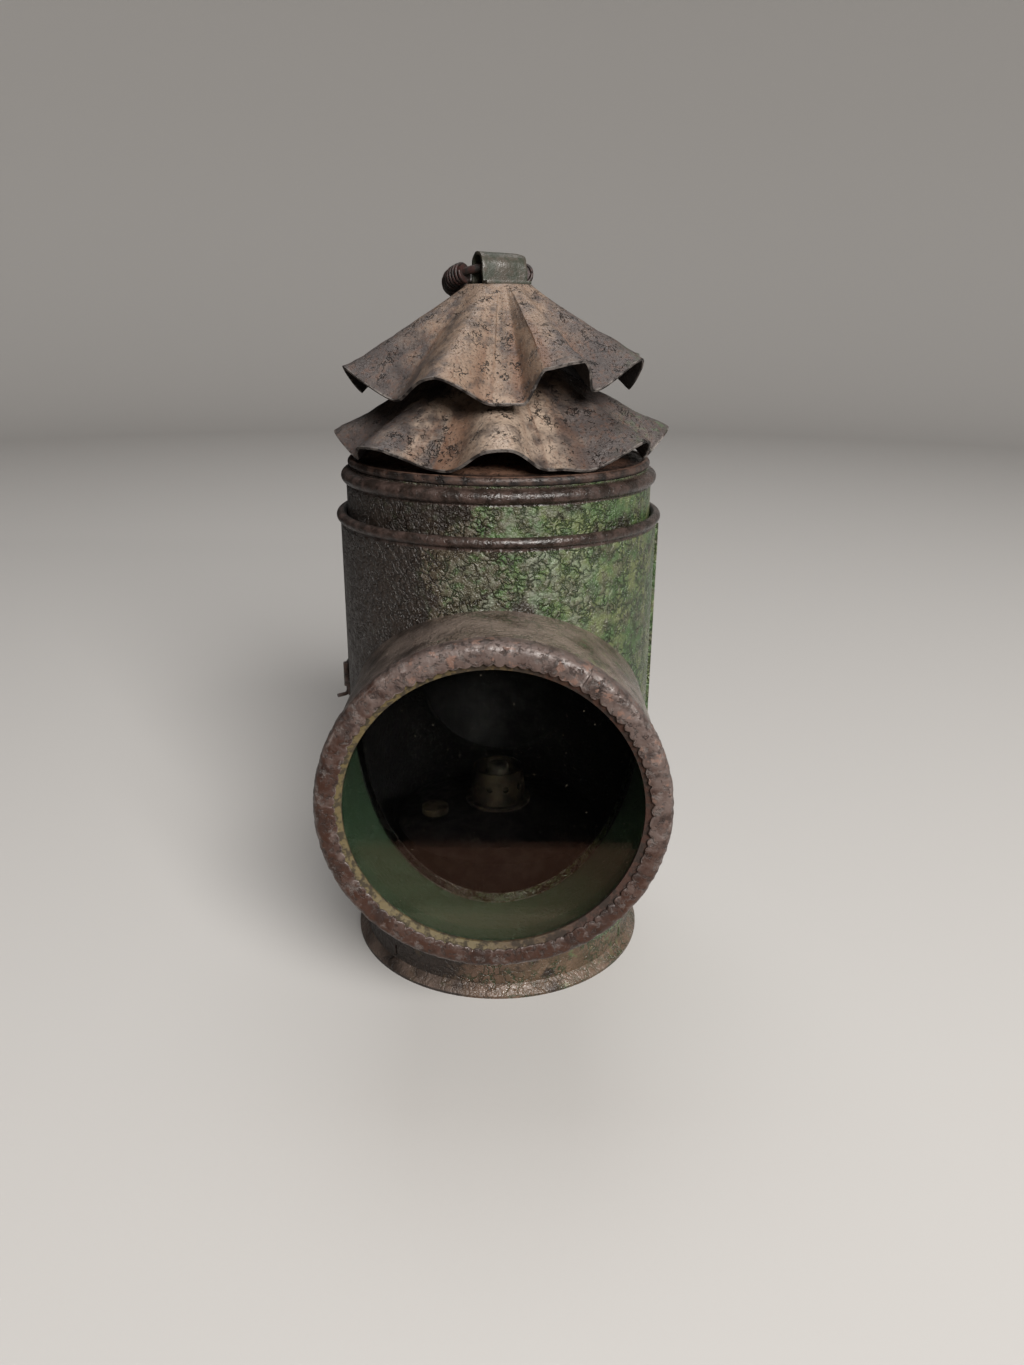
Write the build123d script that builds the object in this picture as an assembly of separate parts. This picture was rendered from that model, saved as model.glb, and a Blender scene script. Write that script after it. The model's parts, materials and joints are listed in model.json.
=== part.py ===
from build123d import *
from math import cos, radians, sin, sqrt
import os

# Bullseye hand lantern of tinned sheet, about 176 mm tall.
# Millimetres. +Z is up, the lens looks along -Y, the origin is the centre of the foot's underside.
# Angles are in degrees round the case, from +X towards +Y, so the front is -90.

# Sheet and clearances
CASE_SHEET = 0.6
SHUTTER_SHEET = 0.5
BELL_SHEET = 0.6
DOOR_SHEET = 0.7
SOLDER_GAP = 0.05
SLIDE_GAP = 0.3
PIN_GAP = 0.05

# Case
CASE_R = 38.9
CASE_HEIGHT = 105.7
RIM_ROLL_R = 1.2
RIM_WIRE_R = 0.75
RIM_SLIT = 0.3
DOORWAY_INSET = 12.0
DOORWAY_SILL = 13.0
DOORWAY_LINTEL = 12.7
BASE_SHEET = 0.8
DRAUGHT_HOLES = 8
DRAUGHT_HOLE_R = 1.6

# Foot
FOOT_INSET = 1.6
FOOT_SPREAD = 2.1
FOOT_HEIGHT = 11.0
FOOT_FLARE = 3.0
FOOT_LIP = 0.7
FOOT_SLIT_ANGLES = (-135.0, -28.0, 45.0, 135.0)
FOOT_SLIT_WIDTH = 0.9
FOOT_SLIT_HEIGHT = 3.0

# Lens and its tube
LENS_Z = 65.0
LENS_REACH = 64.5
TUBE_INSET = 2.0
TUBE_SHEET = 0.6
BEZEL_SHEET = 0.75
BEZEL_DEPTH = 4.5
BEZEL_ROUND = 1.3
BEZEL_LAP = 3.5
SCALLOPS = 64
SCALLOP_NOTCH_R = 1.1
PACKING_SHOW = 1.7
PACKING_DEPTH = 1.4
GLASS_DEPTH = 3.0
SEAT_RING_R = 1.0

# Shutter, which is the inner cylinder with its neck
SHUTTER_CLEARANCE = 1.1
WINDOW_INSET = 1.3
NECK_BEAD_RISE = 9.4
NECK_BEAD_SWELL = 1.2
NECK_BEAD_HALF = 1.5
NECK_STEP = 1.0
NECK_LIP = 2.15

# Cap plate and chimney
CAP_OVERHANG = 0.5
CAP_BEAD_ROLL = 1.0
CAP_SHEET = 0.5
CAP_RISE = 4.2
CAP_SKIRT = 4.0
CHIMNEY_R = 12.0
CHIMNEY_HEIGHT = 30.2
CHIMNEY_SHEET = 0.6
VENTS = 8
VENT_WIDTH = 4.0
LOWER_VENTS = (3.5, 14.5)
UPPER_VENTS = (20.5, 27.0)

# Crimped bells. A flute is its angle, then its radius and drop as shares of the bell's radius and depth
BELL_REST = 0.25
LOWER_BELL_OVERHANG = 2.3
LOWER_BELL_DEPTH = 20.8
LOWER_FLUTES = (
    (-88.4, 0.998, 0.721), (-71.5, 0.891, 0.971), (-55.0, 0.876, 1.0), (-36.0, 0.995, 0.745),
    (-18.0, 0.881, 0.981), (2.0, 1.0, 0.716), (23.0, 0.883, 0.99), (46.0, 0.993, 0.736),
    (68.0, 0.876, 0.986), (90.0, 0.995, 0.75), (112.0, 0.883, 0.995), (134.5, 1.0, 0.755),
    (158.0, 0.879, 1.0), (180.0, 0.968, 0.774), (203.0, 0.879, 0.995), (227.0, 0.995, 0.788),
    (250.5, 0.881, 0.99),
)
CROWN_R = 7.5
UPPER_BELL_INSET = 1.5
UPPER_BELL_DEPTH = 24.3
UPPER_FLUTES = (
    (-89.1, 0.856, 0.992), (-75.5, 0.947, 0.683), (-60.0, 0.987, 0.626), (-48.5, 0.856, 0.901),
    (-25.0, 0.952, 0.634), (0.0, 0.84, 0.938), (22.0, 0.979, 0.642), (45.0, 0.858, 0.979),
    (67.0, 0.963, 0.889), (90.0, 0.856, 0.971), (113.0, 0.981, 0.708), (135.0, 0.85, 0.988),
    (158.0, 0.987, 0.724), (180.0, 0.888, 0.992), (200.0, 1.0, 0.733), (224.8, 0.856, 1.0),
    (250.0, 0.984, 0.765),
)

# Carrying ring and its strap
STRAP_INNER_R = 2.7
STRAP_SHEET = 0.7
STRAP_WIDTH = 11.6
STRAP_FOOT = 3.0
STRAP_TURN = 25.0
RING_R = 8.5
RING_REST = 17.0
RING_LIFT = 1.1
RING_SAG = 1.1
RING_WIRE_R = 0.9
WINDING_WIRE_R = 0.75
WINDING_LOOPS = 14
WINDING_SPAN = 238.0

# Door, hinges and catch
DOOR_INSET = 1.5
DOOR_LOW_GAP = 3.0
DOOR_HIGH_GAP = 2.0
DOOR_GAP = 0.2
DOOR_HEM_ANGLE = 3.0
DOOR_HEM_SHEET = 0.4
HINGE_HEIGHTS = (17.0, 59.0)
KNUCKLE_R = 1.0
KNUCKLE_LENGTH = 3.1
KNUCKLE_PART = 0.2
HINGE_PIN_R = 0.5
HINGE_LEAF = 0.45
HINGE_LEAF_ANGLE = 11.0
HINGE_MEET_ANGLE = 1.0
PIN_DROP = 2.2
PIN_TAIL = 3.2
PIN_TAIL_ANGLE = 220.0
CATCH_HEIGHT = 41.0
CATCH_WIDTH = 6.0
CATCH_SHEET = 0.5
CATCH_REACH = 8.0
CATCH_TAB = 2.2
CATCH_TAB_ANGLE = 0.8
CATCH_HOLE_R = 1.3
NUB_ANGLE = -5.0
NUB_R = 0.9
NUB_CLEARANCE = 0.35

# Folding handles and belt clip
HANDLE_WIRE_R = 1.1
HANDLE_NEAR_ANGLE = 35.0
HANDLE_FAR_ANGLE = 72.0
HANDLE_RISE = 28.0
HANDLE_LENGTH = 48.0
HANDLE_CORNER = 5.0
LUG_SHEET = 0.6
LUG_LENGTH = 6.0
LUG_INSET = 11.0
LUG_PAD = 0.5
LUG_PAD_ANGLE = 6.0
CLIP_WIDTH = 12.0
CLIP_SHEET = 0.8
CLIP_RISE = 84.0
CLIP_FLAT = 12.0
CLIP_LENGTH = 51.0
CLIP_STAND = 5.2
CLIP_CURL = 3.0
RIVET_DROPS = (3.0, 7.0)
RIVET_R = 1.0
RIVET_HEAD_R = 1.9
RIVET_HEAD = 0.8

# Oil font, burner and reflector
SOCKET_HEIGHT = 5.0
SOCKET_GAP = 0.25
FONT_R = 27.4
FONT_HEIGHT = 20.0
FONT_SHEET = 0.6
FONT_SHOULDER = 5.0
COLLAR_R = 7.3
COLLAR_FLANGE = 1.5
COLLAR_FLANGE_SHEET = 0.8
COLLAR_HEIGHT = 3.5
COLLAR_WALL = 1.0
WICK_TUBE_R = 3.5
WICK_TUBE_SHEET = 0.5
WICK_TUBE_STAND = 4.6
WICK_GAP = 0.2
WICK_STAND = 2.5
CONE_HEIGHT = 6.2
CONE_TAPER = 0.6
CONE_SHEET = 0.5
CONE_HOLES = 10
CONE_HOLE_R = 0.9
FILLER_ANGLE = 200.0
FILLER_CIRCLE_R = 18.0
FILLER_R = 3.0
FILLER_STAND = 2.6
FILLER_SHEET = 0.5
REFLECTOR_R = 22.0
REFLECTOR_CURVE_R = 36.0
REFLECTOR_INSET = 0.8
REFLECTOR_SHEET = 0.6
BRACKET_WIDTH = 8.0
BRACKET_SHEET = 0.75
BRACKET_FOOT = 8.0

# Radii that follow from the sizes above
CASE_INNER_R = CASE_R - CASE_SHEET
RIM_R = CASE_R - CASE_SHEET / 3
FOOT_WALL_R = CASE_R - FOOT_INSET
FOOT_WALL_INNER_R = FOOT_WALL_R - CASE_SHEET
FOOT_R = FOOT_WALL_R + FOOT_SPREAD
SOCKET_INNER_R = FONT_R + SOCKET_GAP
SOCKET_R = SOCKET_INNER_R + CASE_SHEET
DRAUGHT_CIRCLE_R = (SOCKET_R + FOOT_WALL_INNER_R) / 2
TUBE_R = CASE_R - TUBE_INSET
TUBE_INNER_R = TUBE_R - TUBE_SHEET
BEZEL_OPEN_R = TUBE_R - BEZEL_LAP
PACKING_OPEN_R = BEZEL_OPEN_R - PACKING_SHOW
SHUTTER_R = CASE_INNER_R - SHUTTER_CLEARANCE
WINDOW_R = TUBE_INNER_R - WINDOW_INSET
NECK_BEAD_R = SHUTTER_R + NECK_BEAD_SWELL
NECK_TOP_R = SHUTTER_R - NECK_STEP
CAP_EDGE_R = NECK_TOP_R + CAP_OVERHANG - CAP_BEAD_ROLL
WINDING_R = RING_WIRE_R + WINDING_WIRE_R + 2 * SOLDER_GAP
DOOR_R = CASE_R + DOOR_GAP
DOOR_OUTER_R = DOOR_R + DOOR_SHEET
HINGE_X = -(CASE_R + SOLDER_GAP + KNUCKLE_R)
HINGE_BORE_R = HINGE_PIN_R + PIN_GAP
CATCH_R = DOOR_OUTER_R + DOOR_HEM_SHEET + SOLDER_GAP
LUG_BORE_R = HANDLE_WIRE_R + PIN_GAP
LUG_R = LUG_BORE_R + LUG_SHEET
HANDLE_R = DOOR_OUTER_R + 2 * SOLDER_GAP + LUG_R
CLIP_Y = DOOR_OUTER_R + SOLDER_GAP
COLLAR_FLANGE_R = COLLAR_R + COLLAR_FLANGE
LOWER_BELL_R = CASE_R + LOWER_BELL_OVERHANG
UPPER_BELL_R = CASE_R - UPPER_BELL_INSET
WICK_R = WICK_TUBE_R - WICK_TUBE_SHEET - WICK_GAP

# Heights and places that follow, from the foot up
BASE_TOP = FOOT_HEIGHT + BASE_SHEET
CASE_TOP = FOOT_HEIGHT + CASE_HEIGHT
SHUTTER_LOW = BASE_TOP + SLIDE_GAP
NECK_BEAD_Z = CASE_TOP + NECK_BEAD_RISE
NECK_TOP = NECK_BEAD_Z + NECK_LIP
CAP_BEAD_Z = NECK_TOP + SOLDER_GAP + CAP_BEAD_ROLL
CAP_CENTRE_Z = CAP_BEAD_Z + CAP_RISE
CHIMNEY_TOP = CAP_CENTRE_Z + CHIMNEY_HEIGHT
LOWER_BELL_TOP = CAP_BEAD_Z + CAP_BEAD_ROLL + BELL_REST + BELL_SHEET + LOWER_BELL_DEPTH
UPPER_BELL_SLOPE = max(
    UPPER_BELL_DEPTH * drop / (UPPER_BELL_R * reach - CROWN_R) for angle, reach, drop in UPPER_FLUTES
)
CROWN_Z = CHIMNEY_TOP + BELL_REST + BELL_SHEET + (CHIMNEY_R - CROWN_R) * UPPER_BELL_SLOPE
STRAP_LOW = CROWN_Z + SOLDER_GAP
RING_PIVOT_Z = CROWN_Z + RING_LIFT + WINDING_R + WINDING_WIRE_R
RING_PLACE = Location((0, 0, RING_PIVOT_Z), (0, 0, STRAP_TURN))
LENS_PLACE = Plane(origin=(0, 0, LENS_Z), x_dir=(1, 0, 0), z_dir=(0, -1, 0)).location
TUBE_FRONT = LENS_REACH - BEZEL_SHEET
PACKING_FRONT = TUBE_FRONT - SOLDER_GAP
GLASS_FRONT = PACKING_FRONT - PACKING_DEPTH
GLASS_BACK = GLASS_FRONT - GLASS_DEPTH
DOORWAY_LOW = FOOT_HEIGHT + DOORWAY_SILL
DOORWAY_HIGH = CASE_TOP - DOORWAY_LINTEL
DOOR_LOW = FOOT_HEIGHT + DOOR_LOW_GAP
DOOR_HIGH = CASE_TOP - RIM_ROLL_R - DOOR_HIGH_GAP
DOOR_TO = 180 - DOOR_INSET - SLIDE_GAP
HINGES_Z = [DOOR_LOW + height for height in HINGE_HEIGHTS]
CATCH_Z = DOOR_LOW + CATCH_HEIGHT
HANDLE_LOW = DOOR_LOW + HANDLE_RISE
HANDLE_HIGH = HANDLE_LOW + HANDLE_LENGTH
LUGS_Z = [HANDLE_LOW + LUG_INSET, HANDLE_HIGH - LUG_INSET]
CLIP_TOP = DOOR_LOW + CLIP_RISE
CLIP_KNEE = CLIP_TOP - CLIP_FLAT
CLIP_LOW = CLIP_TOP - CLIP_LENGTH
RIVETS_Z = [CLIP_TOP - drop for drop in RIVET_DROPS]
FONT_LOW = BASE_TOP
FONT_TOP = FONT_LOW + FONT_HEIGHT
SHOULDER_TOP = FONT_TOP + FONT_SHOULDER + FONT_SHEET
SHOULDER_SLOPE = FONT_SHOULDER / (FONT_R - COLLAR_FLANGE_R)
COLLAR_LOW = SHOULDER_TOP
COLLAR_TOP = COLLAR_LOW + COLLAR_HEIGHT
WICK_TUBE_TOP = COLLAR_TOP + WICK_TUBE_STAND
CONE_TOP_R = COLLAR_R - CONE_TAPER
REFLECTOR_BACK = FONT_R - REFLECTOR_INSET


def upright(radius, low, high, at=(0.0, 0.0)):
    """A round bar from one height to another."""
    bar = Cylinder(radius, high - low, align=(Align.CENTER, Align.CENTER, Align.MIN))
    return Pos(at[0], at[1], low) * bar


def pipe(outer, inner, low, high, at=(0.0, 0.0)):
    """A round tube from one height to another."""
    return upright(outer, low, high, at) - upright(inner, low - 1, high + 1, at)


def outline(*points):
    """A closed flat outline from radius and height pairs."""
    return make_face(Polyline(*points, close=True))


def turned(profile, start=0.0, end=360.0):
    """A profile of radius and height, turned round Z between two angles."""
    return Rot(0, 0, start) * revolve(Plane.XZ * profile, Axis.Z, end - start)


def band(inner, outer, low, high, start=0.0, end=360.0):
    """A curved strip of sheet between two radii, two heights and two angles."""
    profile = outline((inner, low), (outer, low), (outer, high), (inner, high))
    return turned(profile, start, end)


def on_lens(shape):
    """Moves a shape that was built round Z onto the lens axis, facing the front."""
    return LENS_PLACE * shape


def round_case(radius, angle):
    """X and Y of a point round the case."""
    return (radius * cos(radians(angle)), radius * sin(radians(angle)))


def backward(radius, reach):
    """A round bar along +Y, from the axis out to the reach."""
    return Rot(-90, 0, 0) * upright(radius, 0, reach)


def mirrored_pair(shape):
    """A shape and its mirror image across the lens plane, left one second."""
    return shape, mirror(shape, Plane.YZ)


def foot_ring():
    """Flared skirt that the lantern stands on, with four draught slits."""
    lip_inner = FOOT_R - CASE_SHEET - FOOT_LIP / 2
    inner = FOOT_WALL_INNER_R
    skirt = turned(outline(
        (FOOT_WALL_R, FOOT_HEIGHT), (FOOT_WALL_R, FOOT_FLARE), (FOOT_R, FOOT_LIP), (FOOT_R, 0),
        (lip_inner, 0), (lip_inner, FOOT_LIP), (inner, FOOT_FLARE - CASE_SHEET / 2), (inner, FOOT_HEIGHT),
    ))
    middle = FOOT_FLARE + FOOT_SLIT_HEIGHT / 2 + FOOT_SLIT_WIDTH
    slit = Pos(FOOT_WALL_R, 0, middle) * Box(4 * CASE_SHEET, FOOT_SLIT_WIDTH, FOOT_SLIT_HEIGHT)
    for angle in FOOT_SLIT_ANGLES:
        skirt -= Rot(0, 0, angle) * slit
    return skirt


def base_plate():
    """Bottom of the case, with draught holes round the font."""
    plate = upright(CASE_INNER_R - SOLDER_GAP, FOOT_HEIGHT, BASE_TOP)
    hole = upright(DRAUGHT_HOLE_R, FOOT_HEIGHT - 1, BASE_TOP + 1, (DRAUGHT_CIRCLE_R, 0))
    for number in range(DRAUGHT_HOLES):
        plate -= Rot(0, 0, number * 360 / DRAUGHT_HOLES) * hole
    return plate


def case_shell():
    """Case wall with its wired top edge, lens hole and doorway."""
    rim = Pos(RIM_R, CASE_TOP)
    wall = outline(
        (CASE_INNER_R, FOOT_HEIGHT), (CASE_R, FOOT_HEIGHT), (CASE_R, CASE_TOP), (CASE_INNER_R, CASE_TOP),
    )
    slit = Pos(-RIM_ROLL_R, -RIM_SLIT) * Rectangle(2 * RIM_ROLL_R, RIM_SLIT)
    profile = wall + rim * Circle(RIM_ROLL_R) - rim * Circle(RIM_WIRE_R + SOLDER_GAP) - rim * slit
    shell = turned(profile)
    shell -= on_lens(upright(TUBE_INNER_R, 0, LENS_REACH))
    doorway = band(
        CASE_INNER_R - 1, CASE_R + 1, DOORWAY_LOW, DOORWAY_HIGH, DOORWAY_INSET, 180 - DOORWAY_INSET,
    )
    return shell - doorway


def rim_wire():
    """Stiffening wire inside the rolled top edge."""
    return turned(Pos(RIM_R, CASE_TOP) * Circle(RIM_WIRE_R))


def lens_tube():
    """Short tube that carries the lens, saddled onto the case."""
    tube = on_lens(pipe(TUBE_R, TUBE_INNER_R, 0, TUBE_FRONT - SOLDER_GAP))
    return tube - upright(CASE_R + SOLDER_GAP, 0, CASE_TOP)


def lens_seat_ring():
    """Wire ring inside the tube that the glass rests against."""
    centre = (TUBE_INNER_R - SOLDER_GAP - SEAT_RING_R, GLASS_BACK - SOLDER_GAP - SEAT_RING_R)
    return on_lens(turned(Pos(*centre) * Circle(SEAT_RING_R)))


def lens_glass():
    """Flat round pane."""
    return on_lens(upright(TUBE_INNER_R - SOLDER_GAP, GLASS_BACK, GLASS_FRONT))


def lens_packing():
    """Ring of packing between the pane and the bezel."""
    outer = TUBE_INNER_R - SOLDER_GAP
    slope = PACKING_DEPTH / 2
    return on_lens(turned(outline(
        (PACKING_OPEN_R, GLASS_FRONT), (outer, GLASS_FRONT), (outer, PACKING_FRONT),
        (BEZEL_OPEN_R, PACKING_FRONT), (PACKING_OPEN_R, PACKING_FRONT - slope),
    )))


def lens_bezel():
    """Crimped ring over the tube's end, with a scalloped inner edge."""
    inner = TUBE_R + SOLDER_GAP
    outer = inner + BEZEL_SHEET
    low = LENS_REACH - BEZEL_DEPTH
    edge = [
        Line((outer, low), (outer, LENS_REACH - BEZEL_ROUND)),
        RadiusArc((outer, LENS_REACH - BEZEL_ROUND), (outer - BEZEL_ROUND, LENS_REACH), -BEZEL_ROUND),
        Line((outer - BEZEL_ROUND, LENS_REACH), (BEZEL_OPEN_R, LENS_REACH)),
        Line((BEZEL_OPEN_R, LENS_REACH), (BEZEL_OPEN_R, TUBE_FRONT)),
        Polyline((BEZEL_OPEN_R, TUBE_FRONT), (inner, TUBE_FRONT), (inner, low), (outer, low)),
    ]
    bezel = turned(make_face(edge))
    notch = upright(SCALLOP_NOTCH_R, LENS_REACH - BEZEL_DEPTH, LENS_REACH + 1, (BEZEL_OPEN_R, 0))
    for number in range(SCALLOPS):
        bezel -= Rot(0, 0, (number + 0.5) * 360 / SCALLOPS) * notch
    return on_lens(bezel)


def shutter_cylinder():
    """Inner cylinder that turns behind the lens, with its neck and swaged bead."""
    inner = SHUTTER_R - SHUTTER_SHEET
    low, high = NECK_BEAD_Z - NECK_BEAD_HALF, NECK_BEAD_Z + NECK_BEAD_HALF
    step = high + (SHUTTER_R - NECK_TOP_R) / 3
    edge = [
        Line((SHUTTER_R, SHUTTER_LOW), (SHUTTER_R, low)),
        ThreePointArc((SHUTTER_R, low), (NECK_BEAD_R, NECK_BEAD_Z), (SHUTTER_R, high)),
        Polyline(
            (SHUTTER_R, high), (NECK_TOP_R, step), (NECK_TOP_R, NECK_TOP),
            (NECK_TOP_R - SHUTTER_SHEET, NECK_TOP), (NECK_TOP_R - SHUTTER_SHEET, step - SHUTTER_SHEET),
            (inner, high - SHUTTER_SHEET),
        ),
        ThreePointArc(
            (inner, high - SHUTTER_SHEET), (NECK_BEAD_R - SHUTTER_SHEET, NECK_BEAD_Z),
            (inner, low + SHUTTER_SHEET),
        ),
        Polyline((inner, low + SHUTTER_SHEET), (inner, SHUTTER_LOW), (SHUTTER_R, SHUTTER_LOW)),
    ]
    return turned(make_face(edge)) - on_lens(upright(WINDOW_R, 0, LENS_REACH))


def cap_plate():
    """Top of the neck: a low cone with a rolled edge, a skirt inside the neck and the smoke hole."""
    skirt_r = NECK_TOP_R - SHUTTER_SHEET - SOLDER_GAP
    hole = CHIMNEY_R - CHIMNEY_SHEET
    cone = outline(
        (hole, CAP_CENTRE_Z), (CAP_EDGE_R, CAP_BEAD_Z + CAP_BEAD_ROLL / 2),
        (CAP_EDGE_R, CAP_BEAD_Z), (hole, CAP_CENTRE_Z - CAP_SHEET),
    )
    skirt = outline(
        (skirt_r - CAP_SHEET, CAP_BEAD_Z), (skirt_r, CAP_BEAD_Z),
        (skirt_r, NECK_TOP - CAP_SKIRT), (skirt_r - CAP_SHEET, NECK_TOP - CAP_SKIRT),
    )
    return turned(cone + skirt + Pos(CAP_EDGE_R, CAP_BEAD_Z) * Circle(CAP_BEAD_ROLL))


def chimney_core():
    """Smoke tube that carries both bells, with two rows of vents."""
    core = pipe(CHIMNEY_R, CHIMNEY_R - CHIMNEY_SHEET, CAP_CENTRE_Z, CHIMNEY_TOP)
    for low, high in (LOWER_VENTS, UPPER_VENTS):
        middle = CAP_CENTRE_Z + (low + high) / 2
        slot = Pos(CHIMNEY_R, 0, middle) * Box(4 * CHIMNEY_SHEET, VENT_WIDTH, high - low)
        for number in range(VENTS):
            core -= Rot(0, 0, (number + 0.5) * 360 / VENTS) * slot
    return core


def bell(flutes, radius, depth, top_r, top_z, closed):
    """A crimped bell of sheet: straight lines from a round top to an edge through crests and troughs."""
    points = [(*round_case(radius * reach, angle), top_z - depth * drop) for angle, reach, drop in flutes]
    start = flutes[0][0]
    way = (*round_case(1, start + 90), 0)
    edge = Spline(*points, points[0], tangents=(way, way), tangent_scalars=(1, 1)).edge()
    top = Pos(0, 0, top_z) * Rot(0, 0, start) * Edge.make_circle(top_r)
    drop = Pos(0, 0, -BELL_SHEET)
    faces = [
        Face.make_surface_from_curves(top, edge),
        Face.make_surface_from_curves(drop * top, drop * edge),
        Face.make_surface_from_curves(edge, drop * edge),
    ]
    if closed:
        faces += [Face(Wire([top])), Face(Wire([drop * top]))]
    else:
        faces.append(Face.make_surface_from_curves(top, drop * top))
    return Solid(Shell(faces))


def lower_bell():
    """Crimped bell that shields the chimney's lower vents."""
    top_r = CHIMNEY_R + SOLDER_GAP
    return bell(LOWER_FLUTES, LOWER_BELL_R, LOWER_BELL_DEPTH, top_r, LOWER_BELL_TOP, closed=False)


def upper_bell():
    """Crimped bell with the crown, over the chimney's upper vents."""
    return bell(UPPER_FLUTES, UPPER_BELL_R, UPPER_BELL_DEPTH, CROWN_R, CROWN_Z, closed=True)


def ring_strap():
    """Arched strap on the crown that the carrying ring passes through."""
    outer = STRAP_INNER_R + STRAP_SHEET
    centre = RING_PIVOT_Z
    foot = STRAP_LOW + STRAP_SHEET
    arch = Pos(0, centre) * (Circle(outer) - Circle(STRAP_INNER_R))
    arch -= Pos(0, centre - outer) * Rectangle(4 * outer, 2 * outer)
    profile = arch
    for side in (-1, 1):
        leg_x = side * (STRAP_INNER_R + outer) / 2
        profile += Pos(leg_x, (STRAP_LOW + centre) / 2) * Rectangle(STRAP_SHEET, centre - STRAP_LOW)
        foot_x = side * (STRAP_INNER_R + STRAP_FOOT / 2)
        profile += Pos(foot_x, (STRAP_LOW + foot) / 2) * Rectangle(STRAP_FOOT, STRAP_SHEET)
    strap = extrude(Plane.YZ * profile, amount=STRAP_WIDTH / 2, both=True)
    return Rot(0, 0, STRAP_TURN) * strap


def ring_frame():
    """Location of the carrying ring's centre, lying back on the upper bell."""
    return RING_PLACE * Rot(-RING_REST, 0, 0) * Pos(0, RING_R - RING_SAG, 0)


def carry_ring():
    """Wire ring that passes through the strap."""
    return ring_frame() * Torus(RING_R, RING_WIRE_R)


def winding_point(angle, turn):
    """A point on the winding's centre line, and its direction there."""
    a, t = radians(angle), radians(turn)
    rate = WINDING_LOOPS * 360 / WINDING_SPAN
    reach = RING_R + WINDING_R * cos(t)
    point = Vector(reach * cos(a), reach * sin(a), WINDING_R * sin(t))
    ahead = Vector(
        -WINDING_R * rate * sin(t) * cos(a) - reach * sin(a),
        -WINDING_R * rate * sin(t) * sin(a) + reach * cos(a),
        WINDING_R * rate * cos(t),
    )
    return point, ahead.normalized()


def biarc(start, start_way, end, end_way):
    """Two arcs that join two points with given directions."""
    chord = end - start
    ways = start_way + end_way
    a = 2 * (1 - start_way.dot(end_way))
    b = chord.dot(ways)
    length = (-b + sqrt(b * b + a * chord.dot(chord))) / a
    joint = (start + start_way * length + end - end_way * length) * 0.5
    return [TangentArc(start, joint, tangent=start_way), TangentArc(end, joint, tangent=end_way * -1)]


def winding_route():
    """The winding's centre line: biarcs of a quarter turn each, with a straight run at both ends."""
    first = 270 + (360 - WINDING_SPAN) / 2
    steps = WINDING_LOOPS * 4
    places = [winding_point(first + WINDING_SPAN * n / steps, 90 * n) for n in range(steps + 1)]
    run = 2 * WINDING_WIRE_R
    arcs = [Line(places[0][0] - places[0][1] * run, places[0][0])]
    for (start, start_way), (end, end_way) in zip(places, places[1:]):
        arcs += biarc(start, start_way, end, end_way)
    arcs.append(Line(places[-1][0], places[-1][0] + places[-1][1] * run))
    return Wire([Edge(arc.wrapped) for arc in arcs])


def winding_gap(route):
    """Least gap between the winding's turns, measured on points along its centre line."""
    per_loop = 16
    count = WINDING_LOOPS * per_loop
    samples = [route @ (n / count) for n in range(count + 1)]
    later = per_loop // 2
    least = min((p - q).length for n, p in enumerate(samples) for q in samples[n + later:])
    return least - 2 * WINDING_WIRE_R


def ring_winding():
    """Wire wound round the carrying ring in one unbroken length."""
    route = winding_route()
    print(f"ring winding: {WINDING_LOOPS} loops, least gap to itself {winding_gap(route):.2f} mm")
    section = Plane(origin=route @ 0, z_dir=route % 0) * Circle(WINDING_WIRE_R)
    return ring_frame() * sweep(section, path=route)


def door_panel():
    """Curved door at the back, lapping the doorway, with a hem along its free edge."""
    panel = band(DOOR_R, DOOR_OUTER_R, DOOR_LOW, DOOR_HIGH, DOOR_INSET, DOOR_TO)
    hem_outer = DOOR_OUTER_R + DOOR_HEM_SHEET
    panel += band(DOOR_R, hem_outer, DOOR_LOW, DOOR_HIGH, DOOR_INSET, DOOR_INSET + DOOR_HEM_ANGLE)
    for height in RIVETS_Z:
        panel -= Pos(0, 0, height) * backward(RIVET_R + SOLDER_GAP, DOOR_OUTER_R + 1)
    return panel


def hinge_half(leaf_inner, low, start, end):
    """One hinge knuckle with the leaf that it is rolled from."""
    high = low + KNUCKLE_LENGTH
    half = upright(KNUCKLE_R, low, high, (HINGE_X, 0))
    half += band(leaf_inner, leaf_inner + HINGE_LEAF, low, high, start, end)
    return half - upright(HINGE_BORE_R, low - 1, high + 1, (HINGE_X, 0))


def case_hinges():
    """Hinge halves soldered to the case."""
    inner = CASE_R + SOLDER_GAP
    start, end = 180 - HINGE_MEET_ANGLE, 180 + HINGE_LEAF_ANGLE
    lows = [height - KNUCKLE_LENGTH - KNUCKLE_PART / 2 for height in HINGES_Z]
    return Compound([hinge_half(inner, low, start, end).solid() for low in lows])


def door_hinges():
    """Hinge halves soldered to the door."""
    inner = DOOR_OUTER_R + SOLDER_GAP
    start, end = 180 - HINGE_LEAF_ANGLE, 180 - HINGE_MEET_ANGLE
    lows = [height + KNUCKLE_PART / 2 for height in HINGES_Z]
    return Compound([hinge_half(inner, low, start, end).solid() for low in lows])


def hinge_pins():
    """Wire pins through the knuckles, each with its lower end bent aside."""
    pins = []
    reach = KNUCKLE_LENGTH + KNUCKLE_PART / 2
    for height in HINGES_Z:
        low = height - reach - PIN_DROP
        tail = round_case(PIN_TAIL, PIN_TAIL_ANGLE)
        route = FilletPolyline(
            (HINGE_X, 0, height + reach + KNUCKLE_PART), (HINGE_X, 0, low),
            (HINGE_X + tail[0], tail[1], low), radius=2 * HINGE_PIN_R,
        )
        section = Plane(origin=route @ 0, z_dir=route % 0) * Circle(HINGE_PIN_R)
        pins.append(sweep(section, path=route).solid())
    return Compound(pins)


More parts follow.
